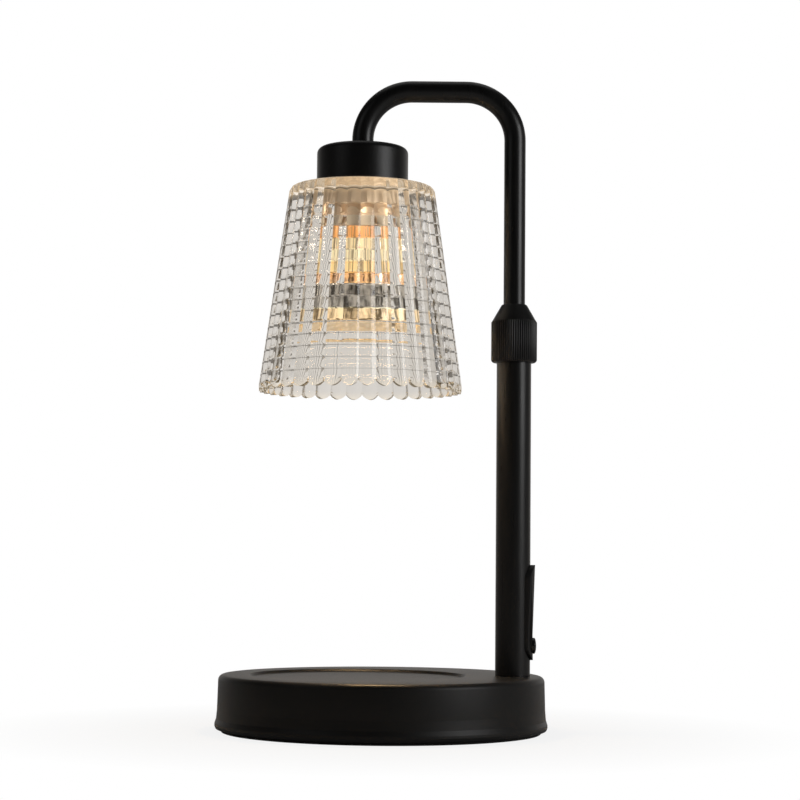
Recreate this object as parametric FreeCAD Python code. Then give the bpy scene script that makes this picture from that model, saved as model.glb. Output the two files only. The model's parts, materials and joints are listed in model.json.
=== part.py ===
import FreeCAD, Part
import math
import os

# Warming lamp: a heavy round base, a telescopic pole with a twist lock, a bent arm and a ribbed glass shade
# over a reflector bulb. Millimetres, +Z up, origin at the centre of the base on the table, +X towards the pole.

V = FreeCAD.Vector

# Base
foot_thickness = 1.6
foot_inset = 3.0
cover_height = 24.3
lip_radius = 76.0
wall_taper = 1.5
lip_bead = 3.6
flare_height = 8.9
cover_sheet = 1.5
cover_edge_round = 2.5
seat_margin = 14.5
lamp_offset = 11.0
seat_depth = 1.2
plate_sheet = 1.2
weight_thickness = 9.0
weight_gap = 2.0
plate_screw_inset = 14.0
plate_screw_count = 3
plate_screw_radius = 1.5
plate_screw_length = 8.0
screw_boss_radius = 4.5

# Cord inlet in the back of the base
inlet_height = 11.5
inlet_radius = 3.2
grommet_wall = 1.0
grommet_flange = 2.0
grommet_lip = 0.95

# Pole
pole_inset = 16.0
pole_radius = 8.0
pole_wall = 1.0
pole_length = 148.1
stem_radius = 5.0
stem_bore = 3.5
plug_height = 6.6
pole_nut_height = 4.1
pole_nut_flats = 15.0
pole_washer_radius = 10.0
pole_washer_sheet = 1.2
stem_tail = 0.9

# Twist lock
collar_radius = 10.6
collar_overlap = 4.0
knurl_length = 19.2
knurl_count = 60
knurl_depth = 0.45
collar_edge = 1.0
cone_length = 7.6
cone_top_radius = 6.0
ferrule_insert = 14.0
ferrule_flange = 1.2
thread_radius = 7.5
thread_length = 9.8
mouth_depth = 7.0
mouth_radius = 6.6
collet_grip = 3.6
collet_flange = 1.8
collet_flange_radius = 7.0
collet_nose = 3.0
collet_nose_radius = 5.7
collet_slit = 1.0

# Arm
arm_radius = 5.0
arm_wall = 1.0
arm_insert = 52.0
arm_rise = 122.6
bend_radius = 23.0
drop_straight = 3.8
bush_length = 6.0
lead_radius = 1.5
wire_radius = 0.7
nipple_grip = 3.4
nipple_bore = 2.3
curl_radius = 5.6
curl_hole = 3.8

# Head
cap_radius = 21.25
cap_height = 18.8
cap_sheet = 1.2
cap_edge_round = 3.0
sleeve_radius = 18.0
sleeve_sheet = 1.2
sleeve_length = 34.6
bridge_sheet = 1.0
bridge_width = 10.0
bridge_half_span = 13.0
bridge_bend = 2.0
head_washer_sheet = 0.8
head_washer_radius = 7.0
head_nut_height = 3.6
head_nut_flats = 13.0
nipple_tail = 1.0
shade_ring_height = 6.0
shade_ring_radius = 22.0
gasket_sheet = 0.8

# Glass shade
shade_height = 95.6
shade_top_radius = 33.6
shade_mouth_radius = 47.4
shade_wall = 4.0
roof_thickness = 4.6
shade_edge_round = 2.0
rib_count = 36
rib_depth = 1.3
rib_chords = 4
lobe_height = 2.3
lobe_flat = 0.15
lobe_chords = 4
ring_pitch = 5.35
ring_depth = 0.45
ring_count = 16

# Lampholder and bulb
holder_radius = 14.0
holder_height = 16.0
holder_face = 2.5
pin_circle = 5.0
pin_neck = 1.6
pin_head = 2.5
pin_head_height = 4.0
twist_angle = 20.0
slot_chords = 4
contact_sheet = 0.5
contact_width = 2.4
contact_reach = 2.3
holder_screw_offset = 9.5
holder_screw_radius = 1.5
bulb_base_radius = 12.0
bulb_base_height = 21.4
bulb_socket_depth = 3.5
bulb_neck_radius = 11.0
bulb_radius = 25.0
bulb_length = 46.5
bulb_rim_height = 3.0
bulb_glass = 1.3
lens_glass = 1.9
capsule_radius = 4.6
capsule_glass = 0.7
capsule_length = 14.0
filament_radius = 0.9
filament_length = 5.0

# Switch in the pole
bezel_height = 43.5
bezel_width = 12.6
bezel_lift = 7.3
bezel_proud_low = 1.3
bezel_proud_mid = 1.15
bezel_proud_top = 2.2
slot_margin = 1.75
side_margin = 1.3
button_radius = 3.65
button_lift = 6.55
button_proud = 2.8
button_dome = 0.9
button_flange = 0.55
button_flange_sheet = 0.9
button_travel = 0.8
board_sheet = 1.0
board_width = 9.4
board_margin = 0.4
post_radius = 1.4
post_shares = (0.4, 0.83)
capacitor_share = 0.31
choke_share = 0.69
controller_share = 0.48
switch_side = 6.0
switch_depth = 3.2
plunger_radius = 1.7

# Clearances: running where parts move on each other, fitted where they are assembled once
running = 0.1
fitted = 0.05
loose = 0.3

# Places that follow from the sizes
base_top = foot_thickness + cover_height
seat_floor = base_top - seat_depth
wall_radius = lip_radius - wall_taper
seat_radius = wall_radius - lamp_offset - seat_margin
plate_screw_circle = lip_radius - plate_screw_inset
pole_x = lip_radius - pole_inset
pole_top = base_top + pole_length
lamp_x = -lamp_offset
arm_reach = pole_x - lamp_x
arm_centre = pole_top + arm_rise
arm_foot = pole_top - arm_insert
cap_top = arm_centre - bend_radius - drop_straight
cap_rim = cap_top - cap_height
roof_under = cap_rim - roof_thickness
shade_low = cap_rim - shade_height
sleeve_low = cap_top - cap_sheet - sleeve_length
holder_low = sleeve_low - 2.0
holder_top = holder_low + holder_height
bulb_top = holder_low - running
bulb_low = bulb_top - bulb_length


def outline(points):
    """A closed outline in the XZ plane. Two values end a line, and four are an arc's middle and its end."""
    edges = []
    here = V(points[0][0], 0, points[0][1])
    for point in points[1:] + [points[0][-2:]]:
        end = V(point[-2], 0, point[-1])
        if len(point) == 4:
            edges.append(Part.Arc(here, V(point[0], 0, point[1]), end).toShape())
        elif here.distanceToPoint(end) > 1e-6:
            edges.append(Part.makeLine(here, end))
        here = end
    return Part.Wire(edges)


def turned(points, x=0.0):
    """A solid turned on the vertical axis at x, from (radius, height) points."""
    solid = Part.Face(outline(points)).revolve(V(0, 0, 0), V(0, 0, 1), 360)
    solid.translate(V(x, 0, 0))
    return solid


def disc(radius, low, high, x=0.0, y=0.0):
    return Part.makeCylinder(radius, high - low, V(x, y, low))


def ring(outer, inner, low, high, x=0.0, y=0.0):
    return disc(outer, low, high, x, y).cut(disc(inner, low - 1, high + 1, x, y))


def eased(radius, height, size, steps):
    """Points round a turned piece's top outer corner, from its side to its top, by a few chords."""
    points = []
    for i in range(steps + 1):
        turn = math.radians(90 * i / steps)
        points.append((radius - size * (1 - math.cos(turn)), height - size * (1 - math.sin(turn))))
    return points


def hexagon(flats, hole, low, high, x):
    """A hex nut, measured across its flats."""
    corner = flats / math.sqrt(3)
    corners = []
    for i in range(7):
        angle = math.radians(60 * i)
        corners.append(V(x + corner * math.cos(angle), corner * math.sin(angle), low))
    prism = Part.Face(Part.makePolygon(corners)).extrude(V(0, 0, high - low))
    chamfered = turned([(0, low), (corner - 0.8, low), (corner, low + 0.5), (corner, high - 0.5),
                        (corner - 0.8, high), (0, high)], x)
    return prism.common(chamfered).cut(disc(hole, low - 1, high + 1, x))


def route(points, radius):
    """Straight runs joined by tangent arcs of one radius."""
    edges = []
    here = points[0]
    for before, corner, after in zip(points, points[1:], points[2:]):
        back = (before - corner).normalize()
        ahead = (after - corner).normalize()
        half_turn = (math.pi - back.getAngle(ahead)) / 2
        trim = radius * math.tan(half_turn)
        start = corner + back * trim
        end = corner + ahead * trim
        inward = (back + ahead).normalize()
        middle = corner + inward * (radius / math.cos(half_turn) - radius)
        edges.append(Part.makeLine(here, start))
        edges.append(Part.Arc(start, middle, end).toShape())
        here = end
    edges.append(Part.makeLine(here, points[-1]))
    return Part.Wire(edges)


def swept(wire, radius):
    """A round bar along a route."""
    start = wire.Edges[0].Vertexes[0].Point
    ahead = wire.Edges[0].Vertexes[1].Point - start
    section = Part.Wire(Part.makeCircle(radius, start, ahead))
    return wire.makePipeShell([section], True, False)


def oval(width, height, near, far, middle_height):
    """A bar with an oval section, tall in Z, that runs along X out of the pole."""
    half = width / 2
    straight = height / 2 - half
    low = V(near, 0, middle_height - straight)
    high = V(near, 0, middle_height + straight)
    across = V(0, half, 0)
    up = V(0, 0, half)
    wire = Part.Wire([
        Part.makeLine(low - across, high - across),
        Part.Arc(high - across, high + up, high + across).toShape(),
        Part.makeLine(high + across, low + across),
        Part.Arc(low + across, low - up, low - across).toShape(),
    ])
    return Part.Face(wire).extrude(V(far - near, 0, 0))


def along_x(solid, height):
    """Lays a solid turned on Z along X, from the pole's axis at a height."""
    laid = solid.copy()
    laid.rotate(V(0, 0, 0), V(0, 1, 0), 90)
    laid.translate(V(pole_x, 0, height))
    return laid


# Base: pressed cover with the seat in its top, cast weight under it, bottom plate and foam foot

def make_base_cover():
    rim = lip_radius - 0.5
    flare_top = foot_thickness + flare_height
    outer = turned([
        (0, foot_thickness),
        (rim, foot_thickness),
        (lip_radius, foot_thickness + lip_bead * 0.3),
        (lip_radius, foot_thickness + lip_bead * 0.7),
        (wall_radius + 0.75, foot_thickness + lip_bead * 1.3),
        (wall_radius + 0.4, flare_top)]
        + eased(wall_radius, base_top, cover_edge_round, 3) + [(0, base_top)])
    inner = turned([
        (0, foot_thickness - 1),
        (rim - cover_sheet, foot_thickness - 1),
        (rim - cover_sheet, foot_thickness + lip_bead),
        (wall_radius + 0.4 - cover_sheet, flare_top),
        (wall_radius - cover_sheet, base_top - cover_sheet - 1.0),
        (wall_radius - cover_sheet - 1.0, base_top - cover_sheet),
        (0, base_top - cover_sheet),
    ])
    pressing = disc(seat_radius + cover_sheet, seat_floor - cover_sheet, base_top - cover_sheet / 2, lamp_x)
    seat = turned([(0, seat_floor), (seat_radius - 0.5, seat_floor), (seat_radius + 0.5, base_top),
                   (seat_radius + 0.5, base_top + 1), (0, base_top + 1)], lamp_x)
    cover = outer.cut(inner).fuse(pressing).cut(seat)
    cover = cover.cut(disc(stem_radius + running, seat_floor - cover_sheet - 1, base_top + 1, pole_x))
    return cover.cut(inlet_bar(inlet_radius + grommet_wall + fitted))


def inlet_bar(radius):
    return Part.makeCylinder(radius, 2 * cover_sheet + 8, V(0, lip_radius - cover_sheet - 6, inlet_height), V(0, 1, 0))


def make_cord_grommet():
    """A rubber grommet, grooved round the cover's wall."""
    flange_radius = inlet_radius + grommet_wall + grommet_flange
    outside = wall_radius + 0.4 + grommet_lip
    inside = wall_radius - cover_sheet - grommet_lip - 0.6
    body = Part.makeCylinder(flange_radius, outside - inside, V(0, inside, inlet_height), V(0, 1, 0))
    groove_low = foot_thickness + lip_bead
    wall = turned([
        (wall_radius + 0.4 - cover_sheet - fitted, groove_low - 4),
        (lip_radius, groove_low - 4),
        (wall_radius + 0.4 + fitted, foot_thickness + flare_height),
        (wall_radius + fitted, base_top - cover_edge_round),
        (wall_radius - cover_sheet - fitted, base_top - cover_edge_round),
        (wall_radius + 0.4 - cover_sheet - fitted, foot_thickness + flare_height),
    ])
    groove = wall.cut(inlet_bar(inlet_radius + grommet_wall))
    return body.cut(groove).cut(inlet_bar(inlet_radius))


def screw_places():
    places = []
    for i in range(plate_screw_count):
        angle = math.radians(60 + 360 / plate_screw_count * i)
        places.append((plate_screw_circle * math.cos(angle), plate_screw_circle * math.sin(angle)))
    return places


plate_top = foot_thickness + plate_sheet
weight_top = seat_floor - cover_sheet - fitted
weight_low = weight_top - weight_thickness


def plate_screw(x, y, extra=0.0):
    """A countersunk screw from the plate up into the weight's boss."""
    head = plate_screw_radius + plate_sheet + extra
    shank = plate_screw_radius + extra
    screw = turned([(0, foot_thickness), (head, foot_thickness), (shank, plate_top),
                    (shank, foot_thickness + plate_screw_length), (0, foot_thickness + plate_screw_length)])
    screw.translate(V(x, y, 0))
    return screw


def make_bottom_plate():
    plate = disc(lip_radius - 0.5 - cover_sheet - running, foot_thickness, plate_top)
    for x, y in screw_places():
        plate = plate.cut(plate_screw(x, y, running))
    return plate


def make_plate_screws():
    recess = plate_sheet * 0.6
    screws = []
    for x, y in screw_places():
        cross = Part.makeBox(3, 0.7, recess, V(x - 1.5, y - 0.35, foot_thickness))
        other = Part.makeBox(0.7, 3, recess, V(x - 0.35, y - 1.5, foot_thickness))
        screws.append(plate_screw(x, y).cut(cross).cut(other))
    return Part.makeCompound(screws)


def make_base_weight():
    radius = wall_radius - cover_sheet - weight_gap
    edge = 1.5
    weight = turned([(0, weight_low), (radius, weight_low), (radius, weight_top - edge),
                     (radius - edge, weight_top), (0, weight_top)])
    seat_of_pole = disc(pole_washer_radius, weight_low, base_top - cover_sheet - fitted, pole_x)
    weight = weight.fuse(seat_of_pole)
    for x, y in screw_places():
        weight = weight.fuse(disc(screw_boss_radius, plate_top, weight_low + 1, x, y))
        weight = weight.cut(disc(plate_screw_radius + running, plate_top - 1, weight_low + 2, x, y))
    return weight.cut(disc(stem_radius + running, weight_low - 1, base_top, pole_x)).removeSplitter()


def make_foot_pad():
    radius = lip_radius - foot_inset
    return turned([(0, 0), (radius - 0.4, 0), (radius, 0.4), (radius, foot_thickness), (0, foot_thickness)])


# Pole: tube, foot plug with its threaded stem, nut and washer under the weight

def make_lower_tube():
    tube = ring(pole_radius, pole_radius - pole_wall, base_top, pole_top, pole_x)
    return tube.cut(oval(slot_width, slot_height, pole_x, pole_x + pole_radius + 1, bezel_middle))


def make_pole_foot():
    stem_end = weight_low - pole_washer_sheet - pole_nut_height - stem_tail
    foot = turned([(stem_bore, stem_end), (stem_radius - 0.6, stem_end), (stem_radius, stem_end + 0.6),
                   (stem_radius, base_top), (pole_radius - pole_wall - fitted, base_top),
                   (pole_radius - pole_wall - fitted, base_top + plug_height - 1),
                   (pole_radius - pole_wall - 1, base_top + plug_height),
                   (stem_bore, base_top + plug_height)], pole_x)
    return foot


def make_pole_washer():
    return ring(pole_washer_radius, stem_radius + running, weight_low - pole_washer_sheet, weight_low, pole_x)


def make_pole_nut():
    nut_top = weight_low - pole_washer_sheet
    return hexagon(pole_nut_flats, stem_radius + fitted, nut_top - pole_nut_height, nut_top, pole_x)


# Twist lock: ferrule in the pole's top, split collet in its mouth, knurled collar over both

flange_top = pole_top + ferrule_flange
ferrule_top = flange_top + thread_length
collet_low = ferrule_top - collet_grip
collet_flange_low = ferrule_top + running
collet_flange_top = collet_flange_low + collet_flange
collet_top = collet_flange_top + collet_nose
mouth_slope = (mouth_radius - arm_radius - running) / mouth_depth
collar_low = pole_top - collar_overlap
collar_shoulder = collar_low + knurl_length
collar_top = collar_shoulder + cone_length


def make_tube_ferrule():
    return turned([
        (arm_radius + running, pole_top - ferrule_insert),
        (pole_radius - pole_wall - fitted, pole_top - ferrule_insert),
        (pole_radius - pole_wall - fitted, pole_top),
        (pole_radius, pole_top),
        (pole_radius, flange_top),
        (thread_radius, flange_top),
        (thread_radius, ferrule_top),
        (mouth_radius, ferrule_top),
        (arm_radius + running, ferrule_top - mouth_depth),
    ], pole_x)


def make_split_collet():
    bore = arm_radius + fitted
    low_radius = mouth_radius - mouth_slope * collet_grip - running
    body = turned([
        (bore, collet_low),
        (low_radius, collet_low),
        (mouth_radius - running, ferrule_top),
        (mouth_radius - running, collet_flange_low),
        (collet_flange_radius, collet_flange_low),
        (collet_flange_radius, collet_flange_top),
        (collet_nose_radius, collet_top),
        (bore, collet_top),
    ], pole_x)
    slit_length = collet_flange_radius + 1
    slit = Part.makeBox(slit_length, collet_slit, collet_top - collet_low + 2,
                        V(pole_x, -collet_slit / 2, collet_low - 1))
    return body.cut(slit)


def make_lock_collar():
    """The collar: straight knurls on its grip, then a plain cone up to the arm."""
    tooth = 360.0 / knurl_count
    corners = []
    for i in range(knurl_count + 1):
        crest = math.radians(tooth * i)
        valley = math.radians(tooth * (i + 0.5))
        root = collar_radius - knurl_depth
        corners.append(V(pole_x + collar_radius * math.cos(crest), collar_radius * math.sin(crest), collar_low))
        if i < knurl_count:
            corners.append(V(pole_x + root * math.cos(valley), root * math.sin(valley), collar_low))
    grip = Part.Face(Part.makePolygon(corners)).extrude(V(0, 0, knurl_length))
    grip_edges = turned([
        (0, collar_low), (collar_radius - collar_edge, collar_low), (collar_radius, collar_low + collar_edge),
        (collar_radius, collar_shoulder - collar_edge / 2),
        (collar_radius - collar_edge / 2, collar_shoulder), (0, collar_shoulder)], pole_x)
    neck = turned([(0, collar_low + 1), (collar_radius - 2 * knurl_depth, collar_low + 1),
                   (collar_radius - collar_edge / 2, collar_shoulder),
                   (cone_top_radius + 0.5, collar_top - 0.4), (cone_top_radius, collar_top), (0, collar_top)], pole_x)
    bore = turned([
        (0, collar_low - 1),
        (pole_radius + running, collar_low - 1),
        (pole_radius + running, flange_top + running),
        (thread_radius + running, flange_top + running),
        (thread_radius + running, collet_flange_top - 0.5),
        (collet_nose_radius + running, collet_top + running),
        (arm_radius + 2 * running, collet_top + running),
        (arm_radius + 2 * running, collar_top + 1),
        (0, collar_top + 1)], pole_x)
    return grip.common(grip_edges).fuse(neck).cut(bore)


# Arm: bent tube, guide bush at its foot, nipple at its head, and the lead through it

def bent_bar(radius, low, high_end, centre_radius):
    """A round bar up the pole, over both bends and down to the head."""
    turn_height = arm_centre - centre_radius
    bar = disc(radius, low, turn_height, pole_x).fuse(disc(radius, high_end, turn_height, lamp_x))
    level = Part.makeCylinder(radius, arm_reach - 2 * centre_radius, V(lamp_x + centre_radius, 0, arm_centre),
                              V(1, 0, 0))
    for x, sign in ((pole_x, -1), (lamp_x, 1)):
        section = Part.Face(Part.Wire(Part.makeCircle(radius, V(x, 0, turn_height))))
        bar = bar.fuse(section.revolve(V(x + sign * centre_radius, 0, turn_height), V(0, sign, 0), 90))
    return bar.fuse(level)


def make_arm_tube():
    outer = bent_bar(arm_radius, arm_foot, cap_top, bend_radius)
    return outer.cut(bent_bar(arm_radius - arm_wall, arm_foot - 1, cap_top - 1, bend_radius))


def make_guide_bush():
    outer = pole_radius - pole_wall - running
    inner = arm_radius + fitted
    return turned([(inner, arm_foot), (outer - 0.5, arm_foot), (outer, arm_foot + 0.5),
                   (outer, arm_foot + bush_length), (inner, arm_foot + bush_length)], pole_x)


stack_low = cap_top - cap_sheet - sleeve_sheet - bridge_sheet
head_nut_top = stack_low - head_washer_sheet
head_nut_low = head_nut_top - head_nut_height
nipple_low = head_nut_low - nipple_tail


def make_head_nipple():
    outer = arm_radius - arm_wall - fitted
    return ring(outer, nipple_bore, nipple_low, cap_top + nipple_grip, lamp_x)


def make_head_washer():
    return ring(head_washer_radius, arm_radius - arm_wall + running, head_nut_top, stack_low, lamp_x)


def make_head_nut():
    return hexagon(head_nut_flats, arm_radius - arm_wall, head_nut_low, head_nut_top, lamp_x)


def make_arm_lead():
    """The sheathed lead in the arm, and its two wires down to the lampholder's contacts."""
    split = nipple_low - 1.5
    lead = bent_bar(lead_radius, arm_foot, split, bend_radius)
    away = pin_circle + contact_reach - contact_sheet / 2
    for side in (-1, 1):
        start = V(lamp_x + side * (wire_radius + fitted), 0, split + 1)
        wire = route([start, start + V(0, 0, -4), V(lamp_x + side * away, 0, holder_top + 5),
                      V(lamp_x + side * away, 0, holder_top + 2)], 1.2)
        lead = lead.fuse(swept(wire, wire_radius))
    return lead


def make_curly_lead():
    """The lead's curl in the pole, held as the hollow space that it fills."""
    return ring(curl_radius, curl_hole, terminal_top, arm_foot, pole_x)


# Head: cap, threaded sleeve, bridge strap, shade ring and gasket

def make_shade_cap():
    """A pressed cup with a rounded top edge and a hole for the nipple."""
    hole = arm_radius - arm_wall
    return turned([(hole, cap_top - cap_sheet)]
                  + eased(cap_radius - cap_sheet, cap_top - cap_sheet, cap_edge_round - cap_sheet, 2)[::-1]
                  + [(cap_radius - cap_sheet, cap_rim), (cap_radius, cap_rim)]
                  + eased(cap_radius, cap_top, cap_edge_round, 4)
                  + [(hole, cap_top)], lamp_x)


def make_holder_sleeve():
    top = cap_top - cap_sheet
    sleeve = disc(sleeve_radius, sleeve_low, top, lamp_x)
    inner = disc(sleeve_radius - sleeve_sheet, sleeve_low - 1, top - sleeve_sheet, lamp_x)
    return sleeve.cut(inner).cut(disc(arm_radius - arm_wall, sleeve_low, top + 1, lamp_x))


def make_holder_bridge():
    """A strap over the lampholder: its middle hangs from the nipple and its feet carry the holder's screws."""
    half = bridge_sheet / 2
    top = stack_low + half
    low = holder_top + half
    foot = holder_screw_offset - 3
    path = route([V(lamp_x, -foot, low), V(lamp_x, -bridge_half_span, low), V(lamp_x, -bridge_half_span, top),
                  V(lamp_x, bridge_half_span, top), V(lamp_x, bridge_half_span, low), V(lamp_x, foot, low)],
                 bridge_bend)
    wide = bridge_width / 2
    start = V(lamp_x, -foot, low)
    section = Part.makePolygon([start + V(-wide, 0, -half), start + V(wide, 0, -half), start + V(wide, 0, half),
                                start + V(-wide, 0, half), start + V(-wide, 0, -half)])
    strap = path.makePipeShell([section], True, False)
    strap = strap.cut(disc(arm_radius - arm_wall + running, stack_low - 1, cap_top, lamp_x))
    for side in (-1, 1):
        strap = strap.cut(disc(holder_screw_radius + fitted, holder_top - 1, holder_top + 2 * bridge_sheet,
                               lamp_x, side * holder_screw_offset))
    return strap


gasket_low = roof_under - gasket_sheet
ring_low = gasket_low - shade_ring_height


def make_shade_gasket():
    return ring(shade_ring_radius, sleeve_radius + loose, gasket_low, roof_under, lamp_x)


def make_shade_ring():
    """The ring that screws onto the sleeve and clamps the glass up to the cap. Six notches take a key."""
    notch_depth = 1.2
    clamp = ring(shade_ring_radius, sleeve_radius + fitted, ring_low, gasket_low, lamp_x)
    for i in range(6):
        notch = Part.makeBox(notch_depth + 1, 4, shade_ring_height - 1.5,
                             V(shade_ring_radius - notch_depth, -2, ring_low - 0.5))
        notch.rotate(V(0, 0, 0), V(0, 0, 1), 60 * i)
        notch.translate(V(lamp_x, 0, 0))
        clamp = clamp.cut(notch)
    return clamp


# Glass shade: pressed glass with upright ribs outside, level rings inside and a lobed mouth

def ribbed_wire(crest, height):
    """A closed wire of crowned ribs that meet in sharp valleys. A few chords make each crown."""
    step = 2 * math.pi / rib_count
    depth = rib_depth * crest / shade_mouth_radius
    corners = []
    for i in range(rib_count * rib_chords + 1):
        across = (i % rib_chords) / rib_chords * 2 - 1
        radius = crest - depth * across ** 2
        turn = step * (i / rib_chords - 0.5)
        corners.append(V(lamp_x + radius * math.cos(turn), radius * math.sin(turn), height))
    corners[-1] = corners[0]
    return Part.makePolygon(corners)


def shade_radius(height):
    """The radius over the ribs at a height."""
    share = (height - shade_low) / shade_height
    return shade_mouth_radius + (shade_top_radius - shade_mouth_radius) * share


def mouth_gap(turn):
    """The gap between two lobes at the mouth, cut along a radius. Each lobe's flank is a few chords."""
    half = shade_mouth_radius * math.sin(math.pi / rib_count)
    near = shade_mouth_radius - shade_wall - 4
    tip = shade_low - lobe_flat
    flank = []
    for i in range(lobe_chords + 1):
        share = i / lobe_chords
        flank.append((half * (1 - share), tip + (lobe_height + lobe_flat) * share ** 2))
    corners = [V(near, -half, tip - 1)] + [V(near, -u, z) for u, z in flank]
    corners += [V(near, u, z) for u, z in flank[-2::-1]] + [V(near, half, tip - 1)]
    gap = Part.Face(Part.makePolygon(corners + corners[:1])).extrude(V(shade_wall + 8, 0, 0))
    gap.rotate(V(0, 0, 0), V(0, 0, 1), turn)
    gap.translate(V(lamp_x, 0, 0))
    return gap


def shade_cavity():
    """The inside of the shade, with its level rings."""
    first_ring = roof_under - 2.5 - ring_pitch * ring_count
    points = [(0, shade_low - 1), (shade_radius(shade_low - 1) - shade_wall, shade_low - 1),
              (shade_radius(first_ring) - shade_wall, first_ring)]
    for i in range(ring_count):
        crest = first_ring + ring_pitch * (i + 0.5)
        valley = first_ring + ring_pitch * (i + 1)
        points.append((shade_radius(crest) - shade_wall - ring_depth, crest))
        points.append((shade_radius(valley) - shade_wall, valley))
    points.append((shade_radius(roof_under) - shade_wall, roof_under - 1.5))
    points.append((shade_radius(roof_under) - shade_wall - 1.5, roof_under))
    points.append((0, roof_under))
    return turned(points, lamp_x)


def make_glass_shade():
    shoulder = cap_rim - shade_edge_round
    wires = [ribbed_wire(shade_mouth_radius, shade_low), ribbed_wire(shade_radius(shoulder), shoulder)]
    glass = Part.makeLoft(wires, True, True)
    for radius, height in eased(shade_radius(shoulder), cap_rim, shade_edge_round, 2)[1:]:
        below = wires[-1]
        wires.append(ribbed_wire(radius, height))
        glass = glass.fuse(Part.makeLoft([below, wires[-1]], True, True))
    glass = glass.cut(shade_cavity())
    glass = glass.cut(disc(sleeve_radius + loose, roof_under - 1, cap_rim + 1, lamp_x))
    return glass.cut([mouth_gap(360.0 / rib_count * (i + 0.5)) for i in range(rib_count)])


# Lampholder: ceramic with two keyholes, contacts, and screws up into the bridge

def pin_place(turn):
    angle = math.radians(turn)
    return lamp_x + pin_circle * math.cos(angle), pin_circle * math.sin(angle)


def arc_slot(half_width, low, high, start, end):
    """A slot along the pins' circle, from one angle to another, with round ends. All of it is in chords."""
    corners = []
    for turn, behind in ((end, 0), (start, math.pi)):
        angle = math.radians(turn)
        for i in range(slot_chords + 1):
            lean = angle + behind + math.pi * i / slot_chords
            corners.append(V(lamp_x + pin_circle * math.cos(angle) + half_width * math.cos(lean),
                             pin_circle * math.sin(angle) + half_width * math.sin(lean), low))
    return Part.Face(Part.makePolygon(corners + corners[:1])).extrude(V(0, 0, high - low))


def make_lamp_holder():
    holder = turned([(0, holder_low), (holder_radius - 0.8, holder_low), (holder_radius, holder_low + 0.8),
                     (holder_radius, holder_top), (0, holder_top)], lamp_x)
    face_top = holder_low + holder_face
    for start in (0, 180):
        entry = start - twist_angle
        pocket = arc_slot(pin_head + 0.4, face_top, holder_top + 1, entry, start)
        slot = arc_slot(pin_neck + 0.25, holder_low - 1, face_top + 1, entry, start)
        x, y = pin_place(entry)
        holder = holder.cut(pocket).cut(slot).cut(disc(pin_head + 0.25, holder_low - 1, face_top + 1, x, y))
    for side in (-1, 1):
        y = side * holder_screw_offset
        holder = holder.cut(disc(holder_screw_radius + running, holder_low - 1, holder_top + 1, lamp_x, y))
        holder = holder.cut(disc(2 * holder_screw_radius + running, holder_low - 1, holder_low + 2, lamp_x, y))
    return holder


def make_holder_screws():
    screws = []
    for side in (-1, 1):
        y = side * holder_screw_offset
        head = disc(2 * holder_screw_radius, holder_low + 0.2, holder_low + 2, lamp_x, y)
        shank = disc(holder_screw_radius, holder_low + 1, holder_top + bridge_sheet, lamp_x, y)
        slot = Part.makeBox(8, 0.7, 0.8, V(lamp_x - 4, y - 0.35, holder_low))
        screws.append(head.fuse(shank).cut(slot))
    return Part.makeCompound(screws)


pin_head_low = holder_low + holder_face + fitted
pin_head_top = pin_head_low + pin_head_height


def make_holder_contacts():
    """Two spring leaves that press on the pins, each with a blade up to its terminal."""
    leaf_low = pin_head_top + running
    contacts = []
    near = lamp_x + pin_circle - contact_reach
    for side in (-1, 1):
        leaf = Part.makeBox(2 * contact_reach, contact_width, contact_sheet, V(near, -contact_width / 2, leaf_low))
        blade = Part.makeBox(contact_sheet, contact_width, holder_top + 2 - leaf_low,
                             V(near + 2 * contact_reach - contact_sheet, -contact_width / 2, leaf_low))
        contact = leaf.fuse(blade)
        if side < 0:
            contact.rotate(V(lamp_x, 0, 0), V(0, 0, 1), 180)
        contacts.append(contact)
    return Part.makeCompound(contacts)


# Bulb: ceramic base on two headed pins, glass reflector, front lens, capsule and filament

neck_top = bulb_top - bulb_base_height + bulb_socket_depth
rim_top = bulb_low + bulb_rim_height
lens_seat = bulb_low + 0.4 + lens_glass


def make_bulb_base():
    low = bulb_top - bulb_base_height
    base = turned([
        (0, neck_top), (bulb_neck_radius + running, neck_top), (bulb_neck_radius + running, low),
        (bulb_base_radius, low), (bulb_base_radius + 0.4, low + 4), (bulb_base_radius + 0.4, bulb_top - 6),
        (bulb_base_radius - 1.2, bulb_top - 4.4), (bulb_base_radius - 1.2, bulb_top - 0.8),
        (bulb_base_radius - 2.0, bulb_top), (0, bulb_top)], lamp_x)
    for turn in (0, 180):
        x, y = pin_place(turn)
        base = base.cut(disc(pin_neck + fitted, bulb_top - 4, bulb_top + 1, x, y))
    return base


def make_bulb_pins():
    pins = []
    for turn in (0, 180):
        x, y = pin_place(turn)
        pin = turned([(0, bulb_top - 4), (pin_neck, bulb_top - 4), (pin_neck, pin_head_low),
                      (pin_head, pin_head_low), (pin_head, pin_head_top - 0.6),
                      (pin_head - 0.6, pin_head_top), (0, pin_head_top)])
        pin.translate(V(x, y, 0))
        pins.append(pin)
    return Part.makeCompound(pins)


def bell(rim_radius, rim_height, neck_radius, neck_height, steps):
    """Points up a reflector's curve from its rim to its neck, along a quarter of an ellipse."""
    points = []
    for i in range(steps + 1):
        turn = math.radians(90 * i / steps)
        points.append((neck_radius + (rim_radius - neck_radius) * math.cos(turn),
                       rim_height + (neck_height - rim_height) * math.sin(turn)))
    return points


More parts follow.
